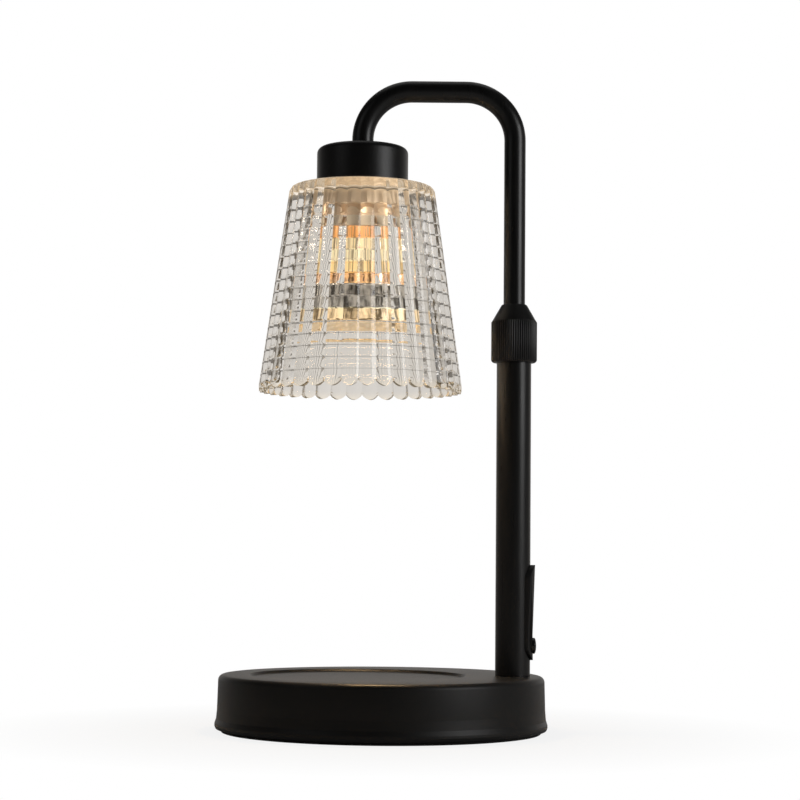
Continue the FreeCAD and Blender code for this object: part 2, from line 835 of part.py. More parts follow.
def make_bulb_reflector():
    inner_rim = bulb_radius - bulb_glass
    inner_neck = bulb_neck_radius - bulb_glass - 1.5
    neck_low = neck_top - bulb_socket_depth - 1.5
    outer = [(inner_rim, bulb_low), (bulb_radius, bulb_low)]
    outer += bell(bulb_radius, rim_top, bulb_neck_radius, neck_low, 4)
    inner = bell(inner_rim - 1.1, lens_seat + fitted, inner_neck, neck_low, 3)
    return turned(outer + [(bulb_neck_radius, neck_top - fitted), (inner_neck, neck_top - fitted)]
                  + inner[::-1] + [(inner_rim, lens_seat + fitted)], lamp_x)


def make_bulb_lens():
    radius = bulb_radius - bulb_glass - fitted
    low = bulb_low + 0.4
    return turned([(0, low - 0.3), (radius * 0.5, low - 0.2), (radius, low + 0.5), (radius, lens_seat),
                   (0, lens_seat)], lamp_x)


capsule_top = neck_top - running
capsule_low = capsule_top - capsule_length


def make_bulb_capsule():
    inner = capsule_radius - capsule_glass
    shoulder = capsule_top - 4
    outer = turned([
        (0, capsule_low), (capsule_radius * 0.6, capsule_low + 0.8), (capsule_radius, capsule_low + 3.0),
        (capsule_radius, shoulder), (capsule_radius - 1.2, shoulder + 1), (capsule_radius - 1.2, capsule_top),
        (0, capsule_top)], lamp_x)
    hollow = turned([
        (0, capsule_low + capsule_glass), (inner * 0.6, capsule_low + 1.5), (inner, capsule_low + 3.2),
        (inner, shoulder - 0.7), (0, shoulder - 0.7)], lamp_x)
    return outer.cut(hollow)


def make_bulb_filament():
    """A small coil across the capsule, on two legs from its pinch."""
    height = capsule_low + capsule_radius + 1.0
    coil = Part.makeCylinder(filament_radius, filament_length, V(lamp_x - filament_length / 2, 0, height), V(1, 0, 0))
    legs_top = capsule_top - 4.7
    for side in (-1, 1):
        x = lamp_x + side * (filament_length / 2 - 0.4)
        coil = coil.fuse(disc(0.3, height, legs_top, x))
    return coil


# Switch in the pole: bezel, button, plunger, push switch and the board behind it

bezel_low = base_top + bezel_lift
bezel_middle = bezel_low + bezel_height / 2
slot_height = bezel_height - 2 * slot_margin
slot_width = bezel_width - 2 * side_margin
plug_height_z = slot_height - 2 * running
plug_width = slot_width - 2 * running
button_z = bezel_low + button_lift
crown_reach = pole_radius + button_proud
flange_face = pole_radius - 0.4
flange_back = flange_face - button_flange_sheet
plug_back = flange_back - button_travel - 1.3
board_front = 1.0
board_back = board_front - board_sheet
board_low = bezel_middle - plug_height_z / 2 + board_margin
board_top = bezel_middle + plug_height_z / 2 - board_margin
switch_front = board_front + switch_depth
stem_tip = switch_front + button_travel + 0.5
terminal_top = board_top + 2.0
post_places = [bezel_low + share * bezel_height for share in post_shares]
board_height = board_top - board_low


def make_switch_bezel():
    saddle = turned([
        (pole_radius + fitted, bezel_low - 1), (pole_radius + bezel_proud_low, bezel_low - 1),
        (pole_radius + bezel_proud_mid, bezel_low + 0.26 * bezel_height),
        (pole_radius + bezel_proud_top, bezel_low + bezel_height + 1),
        (pole_radius + fitted, bezel_low + bezel_height + 1)], pole_x)
    plate = saddle.common(oval(bezel_width, bezel_height, pole_x, pole_x + 2 * pole_radius, bezel_middle))
    plug = oval(plug_width, plug_height_z, pole_x + plug_back, pole_x + pole_radius + 0.6, bezel_middle)
    hole = along_x(disc(button_radius + running, 0, 2 * pole_radius), button_z)
    recess = along_x(disc(button_radius + button_flange + running, 0, flange_face), button_z)
    bezel = plate.fuse(plug).cut(hole).cut(recess)
    for height in post_places:
        bezel = bezel.fuse(along_x(disc(post_radius, board_front, plug_back + 0.5), height))
        bezel = bezel.fuse(along_x(disc(post_radius / 2, board_back, board_front + 0.5), height))
    return bezel


def make_power_button():
    """A domed cap with a retaining flange behind the bezel and a stem to the switch."""
    crown = (button_radius ** 2 + button_dome ** 2) / (2 * button_dome)
    halfway = crown - math.sqrt(crown ** 2 - button_radius ** 2 / 4)
    dome = turned([
        (0, stem_tip), (plunger_radius - 0.3, stem_tip), (plunger_radius - 0.3, flange_back),
        (button_radius + button_flange, flange_back), (button_radius + button_flange, flange_face - fitted),
        (button_radius, flange_face - fitted), (button_radius, crown_reach - button_dome),
        (button_radius / 2, crown_reach - halfway), (0, crown_reach)])
    return along_x(dome, button_z)


def make_switch_plunger():
    rear = switch_front - 0.4
    return along_x(disc(plunger_radius, rear, stem_tip), button_z)


def make_button_switch():
    half = switch_side / 2
    body = Part.makeBox(switch_depth, switch_side, switch_side, V(pole_x + board_front, -half, button_z - half))
    return body.cut(along_x(disc(plunger_radius + running, switch_front - 0.4 - button_travel - 0.3,
                                 switch_front + 1), button_z))


def make_dimmer_board():
    half = board_width / 2
    board = Part.makeBox(board_sheet, board_width, board_top - board_low, V(pole_x + board_back, -half, board_low))
    for height in post_places:
        board = board.cut(along_x(disc(post_radius / 2 + running, board_back - 1, board_front + 1), height))
    return board


def make_board_parts():
    """Capacitor, choke, controller and the two terminal blocks, each its own solid on the board."""
    back = pole_x + board_back
    front = pole_x + board_front
    capacitor = Part.makeCylinder(2.2, 9.0, V(back - 2.2, 0, board_low + capacitor_share * board_height))
    choke = Part.makeCylinder(2.0, 5.0, V(back, 0, board_low + choke_share * board_height), V(-1, 0, 0))
    controller = Part.makeBox(1.5, 4.0, 5.0, V(front, -2.0, board_low + controller_share * board_height))
    low_block = Part.makeBox(4.4, 7.0, 5.0, V(back - 4.4, -3.5, board_low))
    high_block = Part.makeBox(4.4, 7.0, 5.0, V(back - 4.4, -3.5, terminal_top - 5.0))
    return Part.makeCompound([capacitor, choke, controller, low_block, high_block])


MAKERS = {
    "foot_pad": make_foot_pad,
    "bottom_plate": make_bottom_plate,
    "base_cover": make_base_cover,
    "base_weight": make_base_weight,
    "plate_screws": make_plate_screws,
    "cord_grommet": make_cord_grommet,
    "lower_tube": make_lower_tube,
    "pole_foot": make_pole_foot,
    "pole_washer": make_pole_washer,
    "pole_nut": make_pole_nut,
    "tube_ferrule": make_tube_ferrule,
    "split_collet": make_split_collet,
    "lock_collar": make_lock_collar,
    "switch_bezel": make_switch_bezel,
    "power_button": make_power_button,
    "switch_plunger": make_switch_plunger,
    "button_switch": make_button_switch,
    "dimmer_board": make_dimmer_board,
    "board_parts": make_board_parts,
    "arm_tube": make_arm_tube,
    "guide_bush": make_guide_bush,
    "head_nipple": make_head_nipple,
    "head_washer": make_head_washer,
    "head_nut": make_head_nut,
    "arm_lead": make_arm_lead,
    "curly_lead": make_curly_lead,
    "shade_cap": make_shade_cap,
    "holder_sleeve": make_holder_sleeve,
    "holder_bridge": make_holder_bridge,
    "shade_gasket": make_shade_gasket,
    "shade_ring": make_shade_ring,
    "glass_shade": make_glass_shade,
    "lamp_holder": make_lamp_holder,
    "holder_screws": make_holder_screws,
    "holder_contacts": make_holder_contacts,
    "bulb_base": make_bulb_base,
    "bulb_pins": make_bulb_pins,
    "bulb_reflector": make_bulb_reflector,
    "bulb_lens": make_bulb_lens,
    "bulb_capsule": make_bulb_capsule,
    "bulb_filament": make_bulb_filament,
}

os.makedirs("parts", exist_ok=True)
for name, make in MAKERS.items():
    shape = make()
    shape.exportStep("parts/" + name + ".step")
    print(name, len(shape.Solids), "solid, valid", shape.isValid(), round(shape.Volume, 1))
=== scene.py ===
import json
import math

import bmesh
import bpy
from mathutils import Matrix, Vector


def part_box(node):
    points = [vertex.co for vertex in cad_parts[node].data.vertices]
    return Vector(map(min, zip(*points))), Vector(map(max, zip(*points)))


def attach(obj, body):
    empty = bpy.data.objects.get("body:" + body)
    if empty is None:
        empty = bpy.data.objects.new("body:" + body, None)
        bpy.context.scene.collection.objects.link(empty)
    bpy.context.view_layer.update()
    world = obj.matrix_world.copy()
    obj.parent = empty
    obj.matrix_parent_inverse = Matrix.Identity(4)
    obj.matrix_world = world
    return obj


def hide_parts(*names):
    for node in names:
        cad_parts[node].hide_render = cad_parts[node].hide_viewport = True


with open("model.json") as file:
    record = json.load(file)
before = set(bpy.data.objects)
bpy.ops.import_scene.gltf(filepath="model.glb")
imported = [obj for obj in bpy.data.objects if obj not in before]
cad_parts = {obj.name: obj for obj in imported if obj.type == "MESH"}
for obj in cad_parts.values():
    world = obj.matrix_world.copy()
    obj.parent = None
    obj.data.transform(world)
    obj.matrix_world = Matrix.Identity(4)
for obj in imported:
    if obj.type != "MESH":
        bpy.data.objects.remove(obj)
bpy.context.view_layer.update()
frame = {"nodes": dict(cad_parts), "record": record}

MM = 0.001


# Camera: it stands a metre in front of the lamp, a little above its base, and looks slightly upwards.
# A long lens and a small roll give the photograph's frame.

VIEW_DISTANCE = 0.984
VIEW_HEIGHT = 0.081
VIEW_SIDE = 0.008
VIEW_TILT = 4.14
VIEW_ROLL = 0.5
FOCAL_LENGTH = 96.0
SENSOR_WIDTH = 36.0
NEAREST = 0.01

camera_data = bpy.data.cameras.new("camera")
camera_data.lens = FOCAL_LENGTH
camera_data.sensor_width = SENSOR_WIDTH
camera_data.clip_start = NEAREST
camera = bpy.data.objects.new("camera", camera_data)
bpy.context.scene.collection.objects.link(camera)
camera.location = (VIEW_SIDE, -VIEW_DISTANCE, VIEW_HEIGHT)
camera.rotation_euler = (math.radians(90 + VIEW_TILT), math.radians(-VIEW_ROLL), 0)
bpy.context.scene.camera = camera
bpy.context.scene.view_settings.view_transform = "Standard"


# Room: a white backdrop for the eye, and a warm grey room that the glass and the paint show instead.
# It is dark in front, above and at the sides, so that black paint stays black beside clear glass.

NOISE_LOW = 0.3
NOISE_HIGH = 0.7


class Value:
    """A socket of a finish. Arithmetic on it adds Math nodes."""

    def __init__(self, finish, socket):
        self.finish = finish
        self.socket = socket

    def maths(self, operation, *values):
        return self.finish.node("ShaderNodeMath", {"operation": operation}, dict(enumerate(values)))

    def __add__(self, other):
        return self.maths("ADD", self, other)

    def __radd__(self, other):
        return self.maths("ADD", other, self)

    def __sub__(self, other):
        return self.maths("SUBTRACT", self, other)

    def __rsub__(self, other):
        return self.maths("SUBTRACT", other, self)

    def __mul__(self, other):
        return self.maths("MULTIPLY", self, other)

    def __rmul__(self, other):
        return self.maths("MULTIPLY", other, self)

    def __abs__(self):
        return self.maths("ABSOLUTE", self)

    def or_more(self, other):
        """The larger of two values."""
        return self.maths("MAXIMUM", self, other)

    def limited(self, low, high, to_low=0.0, to_high=1.0):
        """This value's stretch from low to high, turned into another and held at its ends."""
        return self.finish.node("ShaderNodeMapRange", {"clamp": True},
                                {0: self, 1: low, 2: high, 3: to_low, 4: to_high})

    def spread(self, to_low, to_high):
        """The stretch that most of a noise lies in, turned into another."""
        return self.limited(NOISE_LOW, NOISE_HIGH, to_low, to_high)


class Finish:
    """A material, or the world, with its nodes. Constants go straight onto the shader's own sockets."""

    def __init__(self, name, holder=None, **sockets):
        self.holder = holder or bpy.data.materials.new(name)
        self.holder.use_nodes = True
        self.tree = self.holder.node_tree
        self.shader = self.tree.nodes.get("Principled BSDF") or self.tree.nodes.get("Background")
        self.end = self.tree.nodes.get("Material Output") or self.tree.nodes.get("World Output")
        for socket, value in sockets.items():
            self.feed(socket.replace("_", " "), value)

    def feed(self, socket, value):
        """Sets a socket of the shader, or links what varies over the surface to it."""
        self.join(self.shader.inputs[socket], value)

    def join(self, target, value):
        if isinstance(value, Value):
            self.tree.links.new(value.socket, target)
        elif target.type == "RGBA" and len(value) == 3:
            target.default_value = (*value, 1)
        else:
            target.default_value = value

    def node(self, kind, settings=None, values=None, output=0):
        """Adds a node: first its settings, such as a ramp's stops, then its sockets' values or links."""
        made = self.tree.nodes.new(kind)
        for setting, value in (settings or {}).items():
            if setting == "stops":
                ramp = made.color_ramp
                while len(ramp.elements) < len(value):
                    ramp.elements.new(0.5)
                for element, (place, colour) in zip(ramp.elements, value):
                    element.position = place
                    element.color = (*colour, 1)
            else:
                setattr(made, setting, value)
        for socket, value in (values or {}).items():
            self.join(made.inputs[socket], value)
        return Value(self, made.outputs[output])

    def place(self):
        """Where a point lies on the object."""
        return self.node("ShaderNodeTexCoord", output="Object")

    def up(self, low, high):
        """How far up a point lies between two heights, in millimetres."""
        height = self.node("ShaderNodeSeparateXYZ", None, {0: self.place()}, output="Z")
        return height.limited(low * MM, high * MM)

    def noise(self, size, detail=2.0, stretch=(1, 1, 1), roughness=0.5):
        """Noise whose blotches are about as wide as size, in millimetres."""
        scale = [along / (size * MM) for along in stretch]
        spot = self.node("ShaderNodeMapping", None, {"Vector": self.place(), "Scale": scale})
        return self.node("ShaderNodeTexNoise", None,
                         {"Vector": spot, "Scale": 1.0, "Detail": detail, "Roughness": roughness})

    def mixed(self, share, first, second):
        """A colour between two."""
        return self.node("ShaderNodeMix", {"data_type": "RGBA"}, {0: share, 6: first, 7: second}, output=2)

    def mottled(self, pattern, first, second, smoothest, dullest):
        """Colour and gloss that change together over a pattern."""
        self.feed("Base Color", self.mixed(pattern, first, second))
        self.feed("Roughness", pattern.spread(smoothest, dullest))

    def bumped(self, height, relief, strength):
        """A relief, in millimetres, that follows a pattern."""
        self.feed("Normal", self.node("ShaderNodeBump", None, {
            "Strength": strength, "Distance": relief * MM, "Height": height}))

    def shown_with(self, share, other):
        """Lets another shader show in place of this one, by a share."""
        own = Value(self, self.shader.outputs[0])
        surface = self.node("ShaderNodeMixShader", None, {0: share, 1: own, 2: other})
        self.join(self.end.inputs["Surface"], surface)

    def put_on(self, piece):
        piece.data.materials.clear()
        piece.data.materials.append(self.holder)


PAINT_FRONT = 0.03
PAINT_BACK = 1.0
PAINT_LEFT = 0.65
PAINT_RIGHT = 1.15
PAINT_ABOVE = 0.12
PAINT_SIDES = 0.2
GLASS_FRONT = 0.26
GLASS_BACK = 0.62
GLASS_LEFT = 1.2
GLASS_RIGHT = 1.02
FRONT_TO_BACK = (-0.5, 0.35)
LEFT_TO_RIGHT = (-0.8, 0.8)
LEVEL_TO_ABOVE = (0.08, 0.5)
MIDDLE_TO_SIDES = (0.25, 0.85)
ROOM_GREY = 0.3
ROOM_TINT = (1.0, 0.965, 0.925)
WHITE = (1, 1, 1)

room = Finish("room", holder=bpy.data.worlds.new("room"), Color=ROOM_TINT)
bpy.context.scene.world = room.holder
direction = room.node("ShaderNodeTexCoord", output="Generated")
across, towards_back, upwards = [
    room.node("ShaderNodeSeparateXYZ", None, {0: direction}, output=axis) for axis in "XYZ"]
seen, in_gloss, in_glass = [
    room.node("ShaderNodeLightPath", output=ray)
    for ray in ("Is Camera Ray", "Is Glossy Ray", "Is Transmission Ray")]
in_paint = (towards_back.limited(*FRONT_TO_BACK, PAINT_FRONT, PAINT_BACK)
            * upwards.limited(*LEVEL_TO_ABOVE, 1.0, PAINT_ABOVE)
            * abs(across).limited(*MIDDLE_TO_SIDES, 1.0, PAINT_SIDES)
            * across.limited(*LEFT_TO_RIGHT, PAINT_LEFT, PAINT_RIGHT))
behind_glass = (towards_back.limited(*FRONT_TO_BACK, GLASS_FRONT, GLASS_BACK)
                * across.limited(*LEFT_TO_RIGHT, GLASS_LEFT, GLASS_RIGHT))
shown_room = in_paint + in_glass * (behind_glass - in_paint)
room.feed("Strength", ROOM_GREY + in_gloss.or_more(in_glass) * (shown_room - ROOM_GREY))
room.shown_with(seen, room.node("ShaderNodeBackground", None, {"Color": WHITE, "Strength": 1.0}))


# Floor: plain and pale, pure white to the eye except for the soft dark round the foot.
# It is mid grey to the lamp's own paint, so that little light comes up from below.

FLOOR_SIZE = 6.0
FLOOR_GREY = (0.45, 0.45, 0.45)
UNDER_BASE = 0.075
CLEAR_OF_BASE = 0.2
WHITE_SHARE = 0.86

bpy.ops.object.select_all(action="DESELECT")
bpy.ops.mesh.primitive_plane_add(size=FLOOR_SIZE, location=(0, 0, 0))
floor = bpy.context.object
floor.name = "floor"
floor_paint = Finish("floor_paint", Base_Color=FLOOR_GREY, Roughness=0.9)
from_middle = floor_paint.node("ShaderNodeVectorMath", {"operation": "LENGTH"}, {0: floor_paint.place()},
                               output="Value")
whitened = from_middle.limited(UNDER_BASE, CLEAR_OF_BASE, WHITE_SHARE, 1.0)
eye = floor_paint.node("ShaderNodeLightPath", output="Is Camera Ray")
glow = floor_paint.node("ShaderNodeEmission", None, {"Color": WHITE, "Strength": 1.0})
floor_paint.shown_with(eye * whitened, glow)
floor_paint.put_on(floor)


# Studio lamps: a large key box on the right, a weak one on the left and one overhead.
# The glass doesn't show them through itself, because they would break its streaks into sparks.

SOFTBOXES = [
    ("left_softbox", (-1.3, -0.9, 0.9), (0, 0, 0.12), 0.9, 0.8),
    ("right_softbox", (1.3, -0.75, 0.6), (0, 0, 0.25), 0.75, 7),
    ("top_softbox", (0.0, 0.5, 1.5), (0, 0, 0.1), 1.2, 1.5),
]


def light(kind, name, place, watts, colour=WHITE):
    made = bpy.data.objects.new(name, bpy.data.lights.new(name, kind))
    made.data.energy = watts
    made.data.color = colour
    made.location = place
    bpy.context.scene.collection.objects.link(made)
    return made


def soft_light(name, place, aim, size, watts, colour=WHITE):
    made = light("AREA", name, place, watts, colour)
    made.data.size = size
    made.rotation_euler = (Vector(aim) - Vector(place)).to_track_quat("-Z", "Y").to_euler()
    return made


for name, place, aim, size, watts in SOFTBOXES:
    softbox = soft_light(name, place, aim, size, watts)
    softbox.visible_transmission = False


# Foot: a disc of black closed-cell foam, cut from sheet and glued under the bottom plate.
# The lamp stands on it, and only its edge shows as a dark line under the cover.

WELD = 1e-6
SAME_RADIUS = 1e-9
SMOOTH_BELOW = 35
NARROWEST = 0.001


def picked(piece):
    """Selects a piece alone and makes it the active one."""
    bpy.ops.object.select_all(action="DESELECT")
    bpy.context.view_layer.objects.active = piece
    piece.select_set(True)


def drawn_circle(name, segments, radius, middle, height):
    """Starts a piece as a level circle, in metres, and opens it in edit mode."""
    bpy.ops.object.select_all(action="DESELECT")
    bpy.ops.mesh.primitive_circle_add(vertices=segments, radius=radius, location=(middle, 0, height))
    piece = bpy.context.object
    piece.name = name
    piece.data.name = name
    bpy.ops.object.transform_apply(location=True)
    bpy.ops.object.mode_set(mode="EDIT")
    return piece


def drawn_out(x, y, z):
    """Extrudes the selected ring by a way, in metres."""
    bpy.ops.mesh.extrude_edges_move(TRANSFORM_OT_translate={"value": (x, y, z)})


def closed(piece, welded=True):
    """Joins the last row to the first in a welded piece, turns every face outwards and leaves edit mode."""
    bpy.ops.mesh.select_all(action="SELECT")
    if welded:
        bpy.ops.mesh.remove_doubles(threshold=WELD)
    bpy.ops.mesh.normals_make_consistent(inside=False)
    bpy.ops.object.mode_set(mode="OBJECT")
    return piece


def ring_stack(name, rows, segments, capped):
    """Extrudes a circle from row to row, then caps both ends or joins the last row to the first.
    A row is a radius, a height and a centre in X, in metres."""
    radius, height, middle = rows[0]
    piece = drawn_circle(name, segments, radius, middle, height)
    for next_radius, next_height, next_middle in rows[1:]:
        drawn_out(next_middle - middle, 0, next_height - height)
        ratio = next_radius / radius
        if abs(ratio - 1) > SAME_RADIUS:
            bpy.ops.transform.resize(value=(ratio, ratio, 1), center_override=(next_middle, 0, next_height))
        radius, height, middle = next_radius, next_height, next_middle
    if capped:
        bpy.ops.mesh.edge_face_add()
        bpy.ops.mesh.select_all(action="DESELECT")
        bpy.ops.mesh.select_mode(type="EDGE")
        bpy.ops.mesh.select_non_manifold()
        bpy.ops.mesh.edge_face_add()
        bpy.ops.mesh.select_mode(type="VERT")
    return closed(piece, welded=not capped)


def eased(points, steps=5):
    """A profile with some corners rounded. A point is a radius, a height and, at an eased corner, its
    rounding."""
    rows = []
    for i, point in enumerate(points):
        here = Vector(point[:2])
        if len(point) == 2:
            rows.append(here)
            continue
        rounding = point[2]
        back = (Vector(points[i - 1][:2]) - here).normalized()
        ahead = (Vector(points[(i + 1) % len(points)][:2]) - here).normalized()
        half = back.angle(ahead) / 2
        trim = rounding / math.tan(half)
        centre = here + (back + ahead).normalized() * (rounding / math.sin(half))
        first = (here + back * trim - centre).normalized()
        last = (here + ahead * trim - centre).normalized()
        for step in range(steps + 1):
            rows.append(centre + first.slerp(last, step / steps) * rounding)
    return rows


def turned(name, points, middle=0.0, segments=160, capped=False, steps=5):
    """A turned piece from a profile, about an upright axis at middle, in millimetres.
    Its profile is closed in itself, or open and capped at both ends."""
    rows = [(max(p.x, NARROWEST) * MM, p.y * MM, middle * MM) for p in eased(points, steps)]
    if not capped:
        rows.append(rows[0])
    return ring_stack(name, rows, segments, capped)


def fitted(piece, body, finish, node):
    """Smooths a finished piece, gives it its finish and lets it ride on a body in place of a node."""
    picked(piece)
    bpy.ops.object.shade_smooth_by_angle(angle=math.radians(SMOOTH_BELOW))
    finish.put_on(piece)
    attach(piece, body)
    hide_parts(node)


def span(node):
    """A node's lowest and highest corners, in millimetres."""
    low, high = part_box(node)
    return low / MM, high / MM


foot_high = span("foot_pad")[1]
FOOT_RADIUS = foot_high.x
FOOT_TOP = foot_high.z
FOOT_EDGE = 0.6
FOOT_ROUNDING = 0.3
FOAM_BLACK = (0.012, 0.012, 0.012)
FOAM_CELL = 0.6
FOAM_RELIEF = 0.15

foam = Finish("foam", Base_Color=FOAM_BLACK, Roughness=0.9)
foam.bumped(foam.noise(FOAM_CELL, 3), FOAM_RELIEF, 0.6)
foot = turned("foot_pad_foam", [
    (FOOT_RADIUS - FOOT_EDGE, 0),
    (FOOT_RADIUS, 0.1, FOOT_ROUNDING),
    (FOOT_RADIUS, FOOT_TOP - 0.05, FOOT_ROUNDING),
    (FOOT_RADIUS - FOOT_EDGE, FOOT_TOP),
], capped=True)
fitted(foot, "root", foam, "foot_pad")


# Base cover: pressed steel with a rolled bead at its rim, sides that draw in towards the top,
# and a shallow round seat pressed into it under the shade. It is powder coated in satin black.

cover_low, cover_high = span("base_cover")
shade_low, shade_high = span("glass_shade")
HEAD_X = shade_low.lerp(shade_high, 0.5).x
SHEET = 1.5
LIP = cover_high.x
RIM = cover_low.z
TOP = cover_high.z
SIDE = LIP - 1.5
INNER_LIP = LIP - 0.5
BEAD_MIDDLE = RIM + 1.3
BEAD_TOP = RIM + 2.6
BEAD_ROUNDING = 1.0
SIDE_FOOT = RIM + 4.6
SIDE_MIDDLE = RIM + 8.9
TOP_ROUNDING = 2.5
SEAT_RADIUS = 49.0
SEAT_FLOOR = TOP - 1.2
SEAT_ROUNDING = 0.7
COVER_SIDES = 224
COAT_BLACK = (0.004, 0.004, 0.0041)
CLOUD = 14


def powder_coat(name, colour, grain=0.32, relief=0.03, rough=0.42, sheen=0.32):
    """Baked powder: a fine orange peel, with the gloss breaking up over it."""
    coat = Finish(name, Specular_IOR_Level=sheen)
    peel = coat.noise(grain, 3, roughness=0.6)
    coat.feed("Base Color", coat.mixed(coat.noise(CLOUD), colour, [c * 1.35 for c in colour]))
    coat.feed("Roughness", peel.spread(rough - 0.06, rough + 0.08))
    coat.bumped(peel, relief, 0.7)
    return coat


base_coat = powder_coat("base_coat", COAT_BLACK)
side = eased([
    (INNER_LIP - SHEET, SEAT_FLOOR - SHEET),
    (INNER_LIP - SHEET, RIM),
    (INNER_LIP, RIM, 0.35),
    (LIP, BEAD_MIDDLE, BEAD_ROUNDING),
    (LIP - 0.05, BEAD_TOP, BEAD_ROUNDING),
    (SIDE + 0.75, SIDE_FOOT, 1.5),
    (SIDE + 0.4, SIDE_MIDDLE, 3.0),
    (SIDE, TOP, TOP_ROUNDING),
    (SEAT_RADIUS + 10, TOP),
], 6)
seat = eased([
    (SEAT_RADIUS + 3, TOP),
    (SEAT_RADIUS + 0.5, TOP, SEAT_ROUNDING),
    (SEAT_RADIUS - 0.5, SEAT_FLOOR, SEAT_ROUNDING),
    (SEAT_RADIUS - 3, SEAT_FLOOR),
    (12, SEAT_FLOOR),
    (0.5, SEAT_FLOOR),
])
cover_rows = [(p.x * MM, p.y * MM, 0.0) for p in side[:-1]]
cover_rows += [(p.x * MM, p.y * MM, HEAD_X * MM) for p in seat]
cover = ring_stack("base_cover_shell", cover_rows, COVER_SIDES, capped=True)
fitted(cover, "root", base_coat, "base_cover")


# Pole: drawn steel tube, sprayed satin black. It stands on the cover, and the threaded plug in its
# foot holds it there.

tube_low, tube_high = span("lower_tube")
POLE_X = (tube_low.x + tube_high.x) / 2
POLE_RADIUS = (tube_high.y - tube_low.y) / 2
TUBE_WALL = 1.0
POLE_BORE = POLE_RADIUS - TUBE_WALL
FOOT_CHAMFER = 0.15
TOP_CHAMFER = 0.3
ROUND_SIDES = 96
PAINT_BLACK = (0.003, 0.003, 0.0031)


def satin_paint(name, rough):
    """Sprayed black paint: smoother than powder, with faint long streaks and a few dull patches."""
    paint = Finish(name, Specular_IOR_Level=0.5)
    streak = paint.noise(1.1, stretch=(1, 1, 0.06))
    paint.mottled(streak, PAINT_BLACK, [c * 1.3 for c in PAINT_BLACK], rough - 0.03, rough + 0.06)
    paint.bumped(paint.noise(0.5), 0.01, 0.5)
    return paint


pole_paint = satin_paint("pole_paint", 0.3)
pole = turned("lower_tube_wall", [
    (POLE_BORE, tube_low.z),
    (POLE_RADIUS - FOOT_CHAMFER, tube_low.z),
    (POLE_RADIUS, tube_low.z + FOOT_CHAMFER),
    (POLE_RADIUS, tube_high.z - TOP_CHAMFER),
    (POLE_RADIUS - TOP_CHAMFER, tube_high.z),
    (POLE_BORE, tube_high.z),
], POLE_X, ROUND_SIDES)
fitted(pole, "root", pole_paint, "lower_tube")


# Arm: a thinner tube of the same steel and paint, bent twice on a former. Its lower end slides in
# the pole, and its other end carries the head.

arm_low, arm_high = span("arm_tube")
ARM_RADIUS = (arm_high.y - arm_low.y) / 2
ARM_BORE = ARM_RADIUS - TUBE_WALL
BEND = 23.0
BEND_Z = arm_high.z - ARM_RADIUS - BEND
BEND_STEPS = 28
ARM_SIDES = 64
CAP_TOP = span("shade_cap")[1].z


def quarter_bend(x):
    """Spins the selected ring a quarter round, about the centre of a bend at x."""
    bpy.ops.mesh.spin(steps=BEND_STEPS, angle=math.pi / 2, axis=(0, 1, 0), center=(x * MM, 0, BEND_Z * MM))


def modified(piece, kind, **settings):
    """Gives a piece a modifier and applies it."""
    picked(piece)
    modifier = piece.modifiers.new(kind.lower(), kind)
    for setting, value in settings.items():
        setattr(modifier, setting, value)
    bpy.ops.object.modifier_apply(modifier=modifier.name)


arm = drawn_circle("arm_tube_wall", ARM_SIDES, ARM_RADIUS * MM, POLE_X * MM, arm_low.z * MM)
drawn_out(0, 0, (BEND_Z - arm_low.z) * MM)
quarter_bend(POLE_X - BEND)
drawn_out((HEAD_X - POLE_X + 2 * BEND) * MM, 0, 0)
quarter_bend(HEAD_X + BEND)
drawn_out(0, 0, (CAP_TOP - BEND_Z) * MM)
closed(arm, welded=False)
modified(arm, "SOLIDIFY", thickness=TUBE_WALL * MM, offset=-1)
fitted(arm, "arm", pole_paint, "arm_tube")


# Lock collar: turned metal with straight knurls, painted black. It screws onto the ferrule in the
# pole's top, and unscrewing it frees the arm to slide and swing.

collar_low, collar_high = span("lock_collar")
COLLAR = 10.6
COLLAR_BORE = ARM_RADIUS + 0.2
COLLAR_MOUTH = 6.0
MOUTH_CHAMFER = 0.3
SHOULDER = collar_low.z + 19.2
KNURLS = 60
KNURL_DEPTH = 0.45
SKIRT_BORE = POLE_RADIUS + 0.1
SKIRT_DEPTH = 5.3
THREAD_BORE = 7.6
THREAD_TOP = 16.4
CONE_TOP_BORE = 5.8
CONE_DROP = 3.2


def ribbed_stack(name, ribs, rows, middle, per_rib=6):
    """Extrudes a circle from row to row, draws its ribs, and joins the last row to the first. A row is a
    radius and a height, then the ribs' depth and how far their crests hang below the valleys, if any."""
    radius, height = rows[0][:2]
    piece = drawn_circle(name, ribs * per_rib, radius * MM, middle * MM, height * MM)
    for number, (radius, height, *ribbing) in enumerate(rows + rows[:1]):
        depth, hang = (ribbing + [0, 0])[:2]
        if number:
            drawn_out(0, 0, 0)
        edited = bmesh.from_edit_mesh(piece.data)
        for vertex in edited.verts:
            if vertex.select:
                turn = math.atan2(vertex.co.y, vertex.co.x - middle * MM)
                phase = (turn * ribs / (2 * math.pi)) % 1.0
                swell = 1 - (2 * phase - 1) ** 2
                reach = (radius - depth * (1 - swell)) * MM
                lift = (height - hang * swell) * MM
                vertex.co = (middle * MM + reach * math.cos(turn), reach * math.sin(turn), lift)
        bmesh.update_edit_mesh(piece.data)
    return closed(piece)


